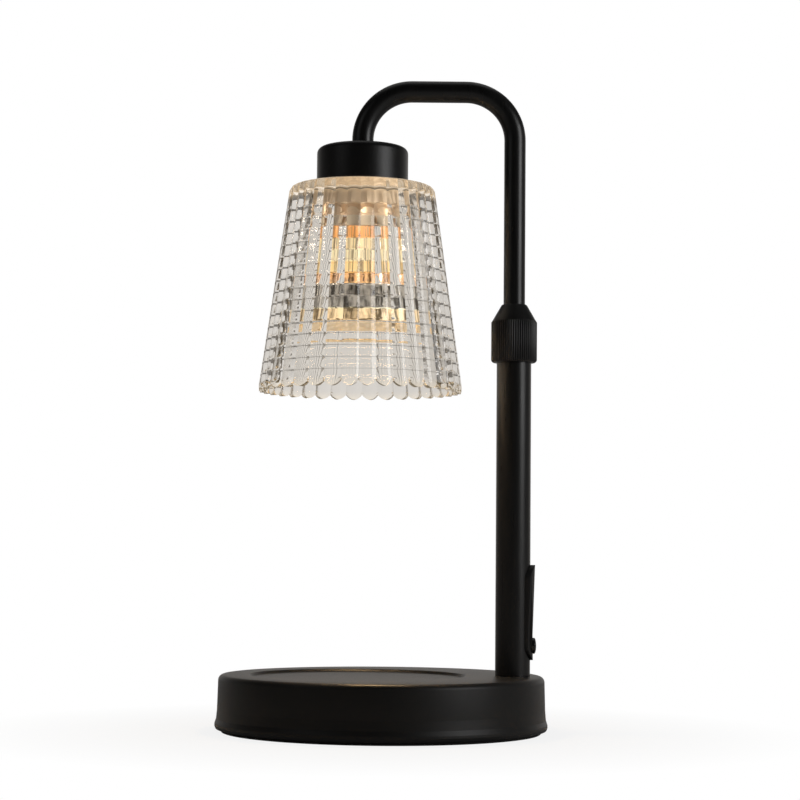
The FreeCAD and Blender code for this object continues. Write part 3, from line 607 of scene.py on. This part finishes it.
collar_paint = satin_paint("collar_paint", 0.34)
collar = ribbed_stack("lock_collar_knurled", KNURLS, [
    (COLLAR_BORE, collar_high.z),
    (COLLAR_MOUTH - MOUTH_CHAMFER, collar_high.z),
    (COLLAR_MOUTH, collar_high.z - MOUTH_CHAMFER),
    (COLLAR - 0.55, SHOULDER + 0.25),
    (COLLAR - 0.4, SHOULDER),
    (COLLAR - 0.35, SHOULDER - 0.1, 0.1),
    (COLLAR, SHOULDER - 0.6, KNURL_DEPTH),
    (COLLAR, collar_low.z + 1.1, KNURL_DEPTH),
    (COLLAR - 0.3, collar_low.z + 0.45, KNURL_DEPTH * 0.6),
    (COLLAR - 0.9, collar_low.z),
    (SKIRT_BORE, collar_low.z),
    (SKIRT_BORE, collar_low.z + SKIRT_DEPTH),
    (THREAD_BORE, collar_low.z + SKIRT_DEPTH),
    (THREAD_BORE, collar_low.z + THREAD_TOP),
    (CONE_TOP_BORE, collar_high.z - CONE_DROP),
    (COLLAR_BORE, collar_high.z - CONE_DROP),
], POLE_X)
fitted(collar, "lock_collar", collar_paint, "lock_collar")


# Cap: a pressed steel cup over the lampholder, powder coated like the base but with a coarser grain.
# The nipple on the arm's end and a nut inside hold it.

cap_low, cap_high = span("shade_cap")
CAP = (cap_high.y - cap_low.y) / 2
CAP_WALL = 1.2
CAP_ROUNDING = 3.0
CAP_SIDES = 128

cap_coat = powder_coat("cap_coat", PAINT_BLACK, grain=0.45, relief=0.06, rough=0.34, sheen=0.4)
cap = turned("shade_cap_cup", [
    (ARM_BORE, cap_high.z - CAP_WALL),
    (ARM_BORE, cap_high.z),
    (CAP, cap_high.z, CAP_ROUNDING),
    (CAP, cap_low.z + 0.2),
    (CAP - 0.3, cap_low.z),
    (CAP - CAP_WALL, cap_low.z),
    (CAP - CAP_WALL, cap_high.z - CAP_WALL, CAP_ROUNDING - CAP_WALL),
], HEAD_X, CAP_SIDES, steps=8)
fitted(cap, "arm", cap_coat, "shade_cap")


# Glass shade: clear pressed glass. Upright ribs outside end in lobes at the mouth, and level rings run
# round the inside. The lampholder's sleeve passes through the solid roof, and a ring below clamps it.

MOUTH = (shade_high.y - shade_low.y) / 2
CROWN = 33.6
SHADE_WALL = 4.0
CROWN_ROUNDING = 2.0
ROOF = 4.6
ROOF_FILLET = 0.8
SLEEVE_HOLE = 18.3
HOLE_ROUNDING = 0.4
HOLE_CHAMFER = 0.3
RIBS = 36
RIB_DEPTH = 1.3
RIB_SIDES = 8
LOBE = 2.3
LOBE_BLEND = 0.9
LOBE_ROUNDING = 0.3
RINGS = 16
RING_PITCH = 5.35
RING_DEPTH = 0.38
RING_FULLNESS = 0.6
RING_STEPS = 8
ROOF_TO_RING = 2.5
MOUTH_EDGE = 1.2
ROUND_STEPS = 6
FILLET_STEPS = 4
GLASS_TINT = (0.985, 0.98, 0.965)
SHADOW_TINT = (0.93, 0.93, 0.92)
# Painted glow colours: the glass is no lamp, and these stand for the bulb's light caught in it.
WALL_GLOW = (0.01, 0.0075, 0.0045)
ROOF_GLOW = (0.15, 0.112, 0.07)
LOBE_GLOW = (0.075, 0.055, 0.025)


def shade_reach(height):
    return MOUTH + (CROWN - MOUTH) * (height - shade_low.z) / (shade_high.z - shade_low.z)


def rib_depth(height):
    return RIB_DEPTH * shade_reach(height) / MOUTH


lobe_root = shade_low.z + LOBE
wall_foot = lobe_root + LOBE_BLEND
wall_top = shade_high.z - CROWN_ROUNDING
shade_rows = []
for share in (0.0, 0.35, 0.7, 1.0):
    height = lobe_root + share * LOBE_BLEND
    drawn_in = LOBE_ROUNDING * (1 - share) ** 2
    shade_rows.append((shade_reach(height) - drawn_in, height, rib_depth(height), LOBE * (1 - share)))
for share in (0.25, 0.5, 0.75, 1.0):
    height = wall_foot + (wall_top - wall_foot) * share
    shade_rows.append((shade_reach(height), height, rib_depth(height)))
for step in range(1, ROUND_STEPS + 1):
    turn = math.radians(90 * step / ROUND_STEPS)
    radius = CROWN - CROWN_ROUNDING + CROWN_ROUNDING * math.cos(turn)
    height = wall_top + CROWN_ROUNDING * math.sin(turn)
    shade_rows.append((radius, height, rib_depth(height) * (1 - step / ROUND_STEPS)))

roof_under = shade_high.z - ROOF
shade_rows += [
    (SLEEVE_HOLE + HOLE_ROUNDING, shade_high.z),
    (SLEEVE_HOLE, shade_high.z - HOLE_ROUNDING),
    (SLEEVE_HOLE, roof_under + HOLE_CHAMFER),
    (SLEEVE_HOLE + HOLE_CHAMFER, roof_under),
]
inside_top = shade_reach(roof_under - ROOF_FILLET) - SHADE_WALL
for step in range(FILLET_STEPS + 1):
    turn = math.radians(90 * step / FILLET_STEPS)
    shade_rows.append((inside_top - ROOF_FILLET * (1 - math.sin(turn)),
                       roof_under - ROOF_FILLET * (1 - math.cos(turn))))

first_ring = roof_under - ROOF_TO_RING - RING_PITCH * RINGS
for ring in reversed(range(RINGS)):
    for step in range(RING_STEPS):
        height = first_ring + RING_PITCH * (ring + 1 - step / RING_STEPS)
        bulge = RING_DEPTH * math.sin(math.pi * step / RING_STEPS) ** RING_FULLNESS
        shade_rows.append((shade_reach(height) - SHADE_WALL - bulge, height))
inside_foot = shade_reach(lobe_root) - SHADE_WALL
shade_rows += [
    (shade_reach(first_ring) - SHADE_WALL, first_ring),
    (inside_foot, lobe_root + MOUTH_EDGE, 0, LOBE * 0.6),
    (inside_foot + 0.5, lobe_root, 0, LOBE),
]

clear_glass = Finish("clear_glass", Base_Color=GLASS_TINT, Roughness=0.02, IOR=1.5, Transmission_Weight=1.0,
                     Emission_Strength=1.0)
clear_glass.bumped(clear_glass.noise(12, 1), 0.06, 0.5)
# Painted glow: the glass emits a faint warm light in its wall, stronger under the roof and in the lobes,
# standing for the bulb's light caught in it.
under_roof = clear_glass.up(shade_high.z - 8, shade_high.z - 3)
in_lobes = clear_glass.up(shade_low.z + 4, shade_low.z)
painted_glass_glow = clear_glass.mixed(under_roof, WALL_GLOW, ROOF_GLOW)
clear_glass.feed("Emission Color", clear_glass.mixed(in_lobes, painted_glass_glow, LOBE_GLOW))
in_shadow = clear_glass.node("ShaderNodeLightPath", output="Is Shadow Ray")
clear_glass.shown_with(in_shadow, clear_glass.node("ShaderNodeBsdfTransparent", None, {"Color": SHADOW_TINT}))
shade = ribbed_stack("glass_shade_ribbed", RIBS, shade_rows, HEAD_X, RIB_SIDES)
fitted(shade, "arm", clear_glass, "glass_shade")


# Sleeve: thin spun metal in a brass tone, clamped under the cap round the lampholder.
# The shade ring climbs the thread that is rolled into it.

sleeve_low, sleeve_high = span("holder_sleeve")
SLEEVE = (sleeve_high.y - sleeve_low.y) / 2
SLEEVE_WALL = 1.2
SLEEVE_ROUNDING = 1.0
THREAD_PITCH = 2.2
THREAD_DEPTH = 0.45
THREAD_FOOT = 1.5
THREAD_STEPS = 6
PLAIN_ENDS = 6
DULL_BRASS = (0.66, 0.5, 0.34)
BRIGHT_BRASS = (0.82, 0.65, 0.46)

brass = Finish("brass", Metallic=0.35)
brass.mottled(brass.noise(5, 4), DULL_BRASS, BRIGHT_BRASS, 0.3, 0.42)
brass.bumped(brass.noise(0.5, stretch=(0.08, 0.08, 1)), 0.01, 0.5)
thread = []
thread_turns = int((sleeve_high.z - sleeve_low.z - PLAIN_ENDS) / THREAD_PITCH)
for step in range(thread_turns * THREAD_STEPS + 1):
    groove = THREAD_DEPTH * math.sin(math.pi * (step % THREAD_STEPS) / THREAD_STEPS)
    thread.append((SLEEVE - groove, sleeve_low.z + THREAD_FOOT + THREAD_PITCH * step / THREAD_STEPS))
sleeve = turned("holder_sleeve_threaded", [
    (SLEEVE - SLEEVE_WALL, sleeve_low.z),
    (SLEEVE - 0.3, sleeve_low.z),
    *thread,
    (SLEEVE, sleeve_high.z, SLEEVE_ROUNDING),
    (ARM_BORE, sleeve_high.z),
    (ARM_BORE, sleeve_high.z - SLEEVE_WALL),
    (SLEEVE - SLEEVE_WALL, sleeve_high.z - SLEEVE_WALL, 0.6),
], HEAD_X, ROUND_SIDES)
fitted(sleeve, "arm", brass, "holder_sleeve")


# Shade ring: turned brass with a fine grip round its edge and a smooth flange above it.
# It is screwed up the sleeve and holds the glass.

grip_low, grip_high = span("shade_ring")
GRIP = (grip_high.y - grip_low.y) / 2
GRIP_RIBS = 48
GRIP_DEPTH = 0.5
GRIP_EDGE = 0.2
FLANGE = 0.9
RING_BORE = SLEEVE + 0.1

shade_ring = ribbed_stack("shade_ring_gripped", GRIP_RIBS, [
    (RING_BORE, grip_low.z + 0.4),
    (RING_BORE + 0.4, grip_low.z),
    (GRIP - 1.0, grip_low.z),
    (GRIP, grip_low.z + 0.8, GRIP_DEPTH),
    (GRIP, grip_high.z - FLANGE - 0.5, GRIP_DEPTH),
    (GRIP - GRIP_EDGE, grip_high.z - FLANGE - 0.1),
    (GRIP, grip_high.z - FLANGE),
    (GRIP, grip_high.z - GRIP_EDGE),
    (GRIP - GRIP_EDGE, grip_high.z),
    (RING_BORE + 0.3, grip_high.z),
    (RING_BORE, grip_high.z - 0.3),
], HEAD_X)
fitted(shade_ring, "arm", brass, "shade_ring")


# Gasket: a soft black silicone washer, pushed up the sleeve, that keeps the ring off the glass.
# It shows as a dark line under the roof.

seal_low, seal_high = span("shade_gasket")
SEAL = (seal_high.y - seal_low.y) / 2
SEAL_BORE = SLEEVE + 0.35
SILICONE_BLACK = (0.02, 0.018, 0.016)
SILICONE_BLOOM = (0.04, 0.036, 0.032)

silicone = Finish("silicone", Specular_IOR_Level=0.3)
silicone.mottled(silicone.noise(3, 3), SILICONE_BLACK, SILICONE_BLOOM, 0.4, 0.52)
seal = turned("shade_gasket_washer", [
    (SEAL_BORE, seal_low.z),
    (SEAL, seal_low.z, 0.3),
    (SEAL, seal_high.z, 0.3),
    (SEAL_BORE, seal_high.z, 0.2),
], HEAD_X, ROUND_SIDES, steps=4)
fitted(seal, "arm", silicone, "shade_gasket")


# Bulb base: glazed ceramic with a waist under its two headed pins, which hang in the lampholder's slots.
# A painted warm glow on it, band by band, stands for the light that leaks past the mirror.

neck_low, neck_high = span("bulb_base")
NECK = (neck_high.y - neck_low.y) / 2
NECK_WALL = 1.3
WAIST = NECK - 1.6
BASE_END = NECK - 2.4
CERAMIC_DARK = (0.28, 0.2, 0.12)
CERAMIC_LIGHT = (0.4, 0.3, 0.19)
CERAMIC_PAINTED_GLOW = [
    (0.0, (0.85, 0.38, 0.05)),
    (0.08, (1.0, 0.7, 0.28)),
    (0.3, (0.95, 0.82, 0.5)),
    (0.62, (0.85, 0.66, 0.34)),
    (0.72, (0.95, 0.34, 0.03)),
    (1.0, (0.8, 0.27, 0.03)),
]


def lit_by_height(finish, low, high, bands, mottle):
    """A glow that changes from band to band up the bulb, broken up by a mottle."""
    band = finish.node("ShaderNodeValToRGB", {"stops": bands}, {0: finish.up(low, high)}, output="Color")
    dimmed = finish.mixed(mottle, (0, 0, 0), WHITE)
    finish.feed("Emission Color", finish.node("ShaderNodeVectorMath", {"operation": "MULTIPLY"}, {
        0: band, 1: dimmed}))


glazed = Finish("bulb_ceramic", Emission_Strength=1.0)
speck = glazed.noise(1.6, 3, stretch=(1, 1, 0.2))
glazed.mottled(speck, CERAMIC_DARK, CERAMIC_LIGHT, 0.22, 0.34)
lit_by_height(glazed, neck_low.z, neck_high.z, CERAMIC_PAINTED_GLOW, speck.limited(0.4, 0.6, 0.12, 1.0))
bulb_base = turned("bulb_base_ceramic", [
    (NECK - NECK_WALL, neck_low.z + 3.4),
    (NECK - NECK_WALL, neck_low.z),
    (NECK - 0.4, neck_low.z, 0.2),
    (NECK, neck_low.z + 4, 2.0),
    (NECK, neck_high.z - 6, 0.4),
    (WAIST, neck_high.z - 4.4, 0.8),
    (WAIST, neck_high.z - 0.8, 0.3),
    (BASE_END, neck_high.z, 0.3),
    (0.5, neck_high.z),
], HEAD_X, ROUND_SIDES, capped=True)
fitted(bulb_base, "bulb", glazed, "bulb_base")


# Reflector: pressed glass with upright flutes and a mirror coat that lets warm light through in bands.
# It is cemented into the ceramic base.

mirror_low, mirror_high = span("bulb_reflector")
MIRROR = (mirror_high.y - mirror_low.y) / 2
MIRROR_NECK = NECK - 1.5
MIRROR_WALL = 2.5
NECK_BORE = MIRROR_NECK - 2.8
RIM_TOP = mirror_low.z + 3.0
INNER_RIM = mirror_low.z + 2.4
BELL_TOP = neck_low.z - 1.5
BELL_STEPS = 18
FLUTES = 30
FLUTE_DEPTH = 0.35
BANDS_TOP = 212.0
MIRROR_DARK_REFLECTION = (0.03, 0.028, 0.025)
MIRROR_BRIGHT_REFLECTION = (0.9, 0.87, 0.8)
MIRROR_BANDS = [
    (0.0, (1.0, 0.62, 0.24)),
    (0.17, (1.0, 0.64, 0.26)),
    (0.24, (1.0, 0.84, 0.46)),
    (0.3, (0.12, 0.1, 0.08)),
    (0.5, (0.04, 0.035, 0.03)),
    (0.74, (0.08, 0.05, 0.03)),
    (0.8, (0.95, 0.34, 0.02)),
    (0.92, (1.0, 0.46, 0.05)),
    (1.0, (1.0, 0.6, 0.2)),
]


def bell(neck, rim, foot, depth=0.0):
    """The reflector's curve from rim to neck, a quarter of an ellipse with flutes that fade at its ends."""
    curve = []
    for step in range(BELL_STEPS + 1):
        turn = math.radians(90 * step / BELL_STEPS)
        curve.append((neck + (rim - neck) * math.cos(turn), foot + (BELL_TOP - foot) * math.sin(turn),
                      depth * math.sin(2 * turn)))
    return curve


mirror = Finish("mirror", Metallic=0.7, Emission_Strength=0.9)
# Painted reflections: the dark and silver patches in the mirror's colour stand for what its facets reflect.
patches = mirror.noise(3.2, 3, stretch=(1, 1, 0.45), roughness=0.7)
mirror.feed("Base Color", mirror.mixed(patches.limited(0.42, 0.58), MIRROR_DARK_REFLECTION, MIRROR_BRIGHT_REFLECTION))
mirror.feed("Roughness", patches.spread(0.12, 0.24))
lit_by_height(mirror, mirror_low.z, BANDS_TOP, MIRROR_BANDS, patches.limited(0.42, 0.58, 0.15, 1.0))
reflector = ribbed_stack("bulb_reflector_fluted", FLUTES, [
    (MIRROR - 1.2, mirror_low.z + 1.6),
    (MIRROR - 1.1, mirror_low.z + 0.3),
    (MIRROR - 0.8, mirror_low.z),
    (MIRROR - 0.3, mirror_low.z),
    (MIRROR, mirror_low.z + 0.4),
    (MIRROR, RIM_TOP - 0.3),
    *bell(MIRROR_NECK, MIRROR, RIM_TOP, FLUTE_DEPTH),
    (MIRROR_NECK, mirror_high.z - 0.3),
    (MIRROR_NECK - 0.3, mirror_high.z),
    (NECK_BORE, mirror_high.z),
    (NECK_BORE, BELL_TOP),
    *reversed(bell(NECK_BORE, MIRROR - MIRROR_WALL, INNER_RIM)),
    (MIRROR - 1.2, INNER_RIM),
], HEAD_X)
fitted(reflector, "bulb", mirror, "bulb_reflector")


# Lens: a pressed glass front with small pillows, sealed into the reflector's rim and lit warm from behind.
# Its light is a beam downwards, and four small leaks round the neck light the glass roof.

lens_low, lens_high = span("bulb_lens")
LENS_RADIUS = (lens_high.y - lens_low.y) / 2
PILLOW = 3.0
PILLOW_RELIEF = 0.5
LENS_MIDDLE = (0.9, 0.85, 0.75)
LENS_EDGE = (0.8, 0.7, 0.55)
MIDDLE_GLOW = (1.0, 0.74, 0.44)
WARM = (1.0, 0.66, 0.34)
PILLOW_EDGE_GLOW = (0.45, 0.32, 0.17)
BEAM_SIZE = 0.036
BEAM_WATTS = 0.25
BEAM_GAP = 1.5
LEAKS = 4
LEAK_RADIUS = 27.0
LEAK_DROP = 3
LEAK_WATTS = 0.0045
LEAK_SIZE = 0.003
LEAK_WARM = (1.0, 0.85, 0.68)

lens = Finish("lens", Emission_Strength=0.7, Roughness=0.3)
from_axis = lens.node("ShaderNodeVectorMath", {"operation": "DISTANCE"}, {
    0: lens.place(), 1: (HEAD_X * MM, 0, lens_low.z * MM)}, output="Value")
outwards = from_axis.limited(0, LENS_RADIUS * MM)
pillows = lens.node("ShaderNodeTexVoronoi", None, {"Vector": lens.place(), "Scale": 1 / (PILLOW * MM)},
                    output="Distance")
lit = lens.mixed(outwards, MIDDLE_GLOW, WARM)
lens.feed("Base Color", lens.mixed(outwards, LENS_MIDDLE, LENS_EDGE))
lens.feed("Emission Color", lens.mixed(pillows.limited(0.2, 0.65), lit, PILLOW_EDGE_GLOW))
lens.bumped(pillows, PILLOW_RELIEF, 0.8)
bulb_front = turned("bulb_lens_front", [
    (0.5, lens_low.z),
    (LENS_RADIUS * 0.5, lens_low.z + 0.1, 3.0),
    (LENS_RADIUS - 0.3, lens_low.z + 0.7, 0.4),
    (LENS_RADIUS, lens_low.z + 1.1),
    (LENS_RADIUS, lens_high.z),
    (0.5, lens_high.z),
], HEAD_X, ROUND_SIDES, capped=True)
fitted(bulb_front, "bulb", lens, "bulb_lens")

under_lens = (HEAD_X * MM, 0, (lens_low.z - BEAM_GAP) * MM)
bulb_lights = [soft_light("bulb_beam", under_lens, (HEAD_X * MM, 0, 0), BEAM_SIZE, BEAM_WATTS, WARM)]
for number in range(LEAKS):
    turn = 2 * math.pi * (number + 0.25) / LEAKS
    beside_neck = ((HEAD_X + LEAK_RADIUS * math.cos(turn)) * MM, LEAK_RADIUS * math.sin(turn) * MM,
                   (neck_high.z - LEAK_DROP) * MM)
    leak = light("POINT", "bulb_leak", beside_neck, LEAK_WATTS, LEAK_WARM)
    leak.data.shadow_soft_size = LEAK_SIZE
    bulb_lights.append(leak)
for bulb_light in bulb_lights:
    bulb_light.visible_camera = False
    bulb_light.visible_transmission = False
    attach(bulb_light, "bulb")


# Switch bezel: a moulded oval plate in black plastic that follows the pole's round side and stands
# proudest at its top. A plug behind it is pressed into the pole's slot.

bezel_low, bezel_high = span("switch_bezel")
button_low, button_high = span("power_button")
BEZEL_MIDDLE = (bezel_low.z + bezel_high.z) / 2
BEZEL_HEIGHT = bezel_high.z - bezel_low.z
BEZEL_WIDTH = bezel_high.y - bezel_low.y
BEZEL_BACK = POLE_RADIUS + 0.05
BEZEL_EDGE = 0.5
BEZEL_EDGE_STEPS = 4
EDGE_ANGLE = 40
PROUD_LOW = 1.3
PROUD_MIDDLE = 1.15
PROUD_TOP = 2.2
MIDDLE_SHARE = 0.26
FACE_CURVE = 60
PLUG_SIDE = 1.4
PLUG_END = 1.85
OVAL_SIDES = 72
BUTTON = (button_high.y - button_low.y) / 2 - 0.55
BUTTON_Z = (button_low.z + button_high.z) / 2
HOLE_GAP = 0.1
HOLE_LENGTH = 14
SLIVER = 5e-6
PLASTIC_BLACK = (0.0035, 0.0035, 0.0036)
PLASTIC_WORN = (0.006, 0.006, 0.006)


def oval_bar(name, width, height, near, far):
    """An oval prism along X: a cylinder whose halves are drawn apart."""
    bpy.ops.object.select_all(action="DESELECT")
    bpy.ops.mesh.primitive_cylinder_add(vertices=OVAL_SIDES, radius=width / 2 * MM, depth=(far - near) * MM,
                                        rotation=(0, math.pi / 2, 0))
    piece = bpy.context.object
    piece.name = name
    bpy.ops.object.transform_apply(rotation=True)
    apart = (height - width) / 2 * MM
    for vertex in piece.data.vertices:
        lift = BEZEL_MIDDLE * MM + (apart if vertex.co.z > 0 else -apart)
        vertex.co += Vector(((near + far) / 2 * MM, 0, lift))
    return piece


def combined(piece, other, operation):
    """Joins a piece with another, or cuts it by the other, which is used up."""
    modified(piece, "BOOLEAN", operation=operation, solver="MANIFOLD", object=other)
    bpy.data.objects.remove(other)


def laid_down(piece, place, angle, axis):
    """Turns a piece about an axis and moves it from the origin, and keeps that in its mesh."""
    picked(piece)
    piece.matrix_world = Matrix.Translation(place) @ Matrix.Rotation(angle, 4, axis)
    bpy.ops.object.transform_apply(location=True, rotation=True)
    return piece


moulded = Finish("bezel_plastic", Specular_IOR_Level=0.4)
mould_grain = moulded.noise(0.35, 3)
moulded.mottled(mould_grain, PLASTIC_BLACK, PLASTIC_WORN, 0.4, 0.5)
moulded.bumped(mould_grain, 0.015, 0.5)
bezel = turned("switch_bezel_plate", [
    (BEZEL_BACK, bezel_low.z - 1),
    (POLE_RADIUS + PROUD_LOW, bezel_low.z - 1),
    (POLE_RADIUS + PROUD_MIDDLE, bezel_low.z + MIDDLE_SHARE * BEZEL_HEIGHT, FACE_CURVE),
    (POLE_RADIUS + PROUD_TOP, bezel_high.z + 1),
    (BEZEL_BACK, bezel_high.z + 1),
], POLE_X, steps=10)
outline = oval_bar("bezel_outline", BEZEL_WIDTH, BEZEL_HEIGHT, POLE_X, POLE_X + 2 * POLE_RADIUS)
combined(bezel, outline, "INTERSECT")
modified(bezel, "BEVEL", width=BEZEL_EDGE * MM, segments=BEZEL_EDGE_STEPS, limit_method="ANGLE",
         angle_limit=math.radians(EDGE_ANGLE))
plug = oval_bar("bezel_plug", BEZEL_WIDTH - 2 * PLUG_SIDE, BEZEL_HEIGHT - 2 * PLUG_END, bezel_low.x + 3.5,
                POLE_X + POLE_RADIUS + 0.6)
combined(bezel, plug, "UNION")
button_axis = (POLE_X * MM, 0, BUTTON_Z * MM)
hole = turned("button_hole", [(0.02, 0), (BUTTON + HOLE_GAP, 0), (BUTTON + HOLE_GAP, HOLE_LENGTH),
                              (0.02, HOLE_LENGTH)], segments=ROUND_SIDES, capped=True)
combined(bezel, laid_down(hole, button_axis, math.pi / 2, "Y"), "DIFFERENCE")
bpy.ops.object.mode_set(mode="EDIT")
bpy.ops.mesh.select_all(action="SELECT")
bpy.ops.mesh.remove_doubles(threshold=SLIVER)
bpy.ops.object.mode_set(mode="OBJECT")
fitted(bezel, "root", moulded, "switch_bezel")


# Power button: a small domed cap in glossier plastic, moulded in one with its stem.
# A flange round its back keeps it in the bezel, and the stem reaches back to the switch.

SMALL_SIDES = 64
BUTTON_FLANGE = BUTTON + 0.55
FLANGE_BACK = POLE_RADIUS - 1.3
FLANGE_FRONT = POLE_RADIUS - 0.45
STEM = 1.4
STEM_END = button_low.x - POLE_X
BUTTON_REACH = button_high.x - POLE_X
DOME = 0.9
DOME_STEPS = 10
BUTTON_BLACK = (0.004, 0.004, 0.004)
BUTTON_WORN = (0.007, 0.007, 0.007)

shine = Finish("button_plastic", Specular_IOR_Level=0.5)
shine.mottled(shine.noise(1.2, 4), BUTTON_BLACK, BUTTON_WORN, 0.18, 0.28)
dome = []
for step in range(DOME_STEPS, 0, -1):
    turn = math.radians(90 * step / DOME_STEPS)
    dome.append((BUTTON * math.sin(turn), BUTTON_REACH - DOME * (1 - math.cos(turn))))
button = turned("power_button_dome", [
    (1.0, STEM_END),
    (STEM, STEM_END),
    (STEM, FLANGE_BACK),
    (BUTTON_FLANGE, FLANGE_BACK),
    (BUTTON_FLANGE, FLANGE_FRONT),
    (BUTTON, FLANGE_FRONT),
    *dome,
    (0.05, BUTTON_REACH),
], segments=SMALL_SIDES, capped=True)
laid_down(button, button_axis, math.pi / 2, "Y")
fitted(button, "power_button", shine, "power_button")


# Cord inlet: a soft rubber grommet, pressed into a hole in the back of the cover.
# Its groove grips the sheet, and its bore is left open.

inlet_low, inlet_high = span("cord_grommet")
INLET = (inlet_high.x - inlet_low.x) / 2
INLET_Z = (inlet_high.z + inlet_low.z) / 2
INLET_BORE = 3.2
INLET_GROOVE = INLET - 2.0
OUTER_FLANGE = 1.4
INNER_FLANGE = 0.9
RUBBER_BLACK = (0.008, 0.008, 0.008)
RUBBER_DUST = (0.02, 0.02, 0.019)

soft_rubber = Finish("rubber", Specular_IOR_Level=0.3)
soft_rubber.mottled(soft_rubber.noise(2, 4), RUBBER_BLACK, RUBBER_DUST, 0.6, 0.75)
grommet = turned("cord_grommet_ring", [
    (INLET_BORE, inlet_low.y + 0.4),
    (INLET_BORE + 0.4, inlet_low.y),
    (INLET, inlet_low.y, 0.5),
    (INLET, inlet_low.y + OUTER_FLANGE, 0.3),
    (INLET_GROOVE, inlet_low.y + OUTER_FLANGE),
    (INLET_GROOVE, inlet_high.y - INNER_FLANGE),
    (INLET, inlet_high.y - INNER_FLANGE, 0.3),
    (INLET - 0.2, inlet_high.y, 0.5),
    (INLET_BORE + 0.5, inlet_high.y, 0.3),
    (INLET_BORE, inlet_high.y - 0.5),
], segments=SMALL_SIDES)
laid_down(grommet, (0, 0, INLET_Z * MM), -math.pi / 2, "X")
fitted(grommet, "root", soft_rubber, "cord_grommet")


# Inner parts: the ballast, plate, screws, nuts, bushes, leads, board, lampholder and the bulb's capsule.
# Their shapes stay as the frame has them, and each takes the finish of what it is made of.

def bare(name, colour, rough, metal=0.0):
    """A part that hardly shows: a fine mottle in its colour and gloss."""
    finish = Finish(name, Metallic=metal)
    mottle = finish.noise(0.5, 3)
    finish.mottled(mottle, [c * 0.85 for c in colour], colour, rough - 0.05, rough + 0.08)
    finish.bumped(mottle, 0.02, 0.4)
    return finish


INNER_FINISHES = {
    "black_steel": bare("primer", (0.03, 0.03, 0.03), 0.5),
    "cast_iron": bare("casting", (0.1, 0.09, 0.085), 0.75),
    "zinc_steel": bare("zinc", (0.62, 0.62, 0.6), 0.35, metal=1.0),
    "brass": brass,
    "nylon": bare("nylon", (0.8, 0.78, 0.72), 0.5),
    "switch_plastic": bare("switch_plastic", (0.05, 0.05, 0.05), 0.5),
    "circuit_board": bare("board", (0.02, 0.13, 0.05), 0.4),
    "lead_sheath": bare("lead", (0.7, 0.68, 0.62), 0.5),
    "ceramic": bare("ceramic", (0.8, 0.72, 0.58), 0.6),
    "capsule_glass": bare("capsule", (0.95, 0.9, 0.8), 0.2),
    "tungsten": bare("tungsten", (0.5, 0.45, 0.4), 0.4, metal=1.0),
}
for row in frame["record"]["subparts"]:
    node = frame["nodes"][row["node"]]
    if not node.hide_render:
        INNER_FINISHES[row["material_slot"]].put_on(node)
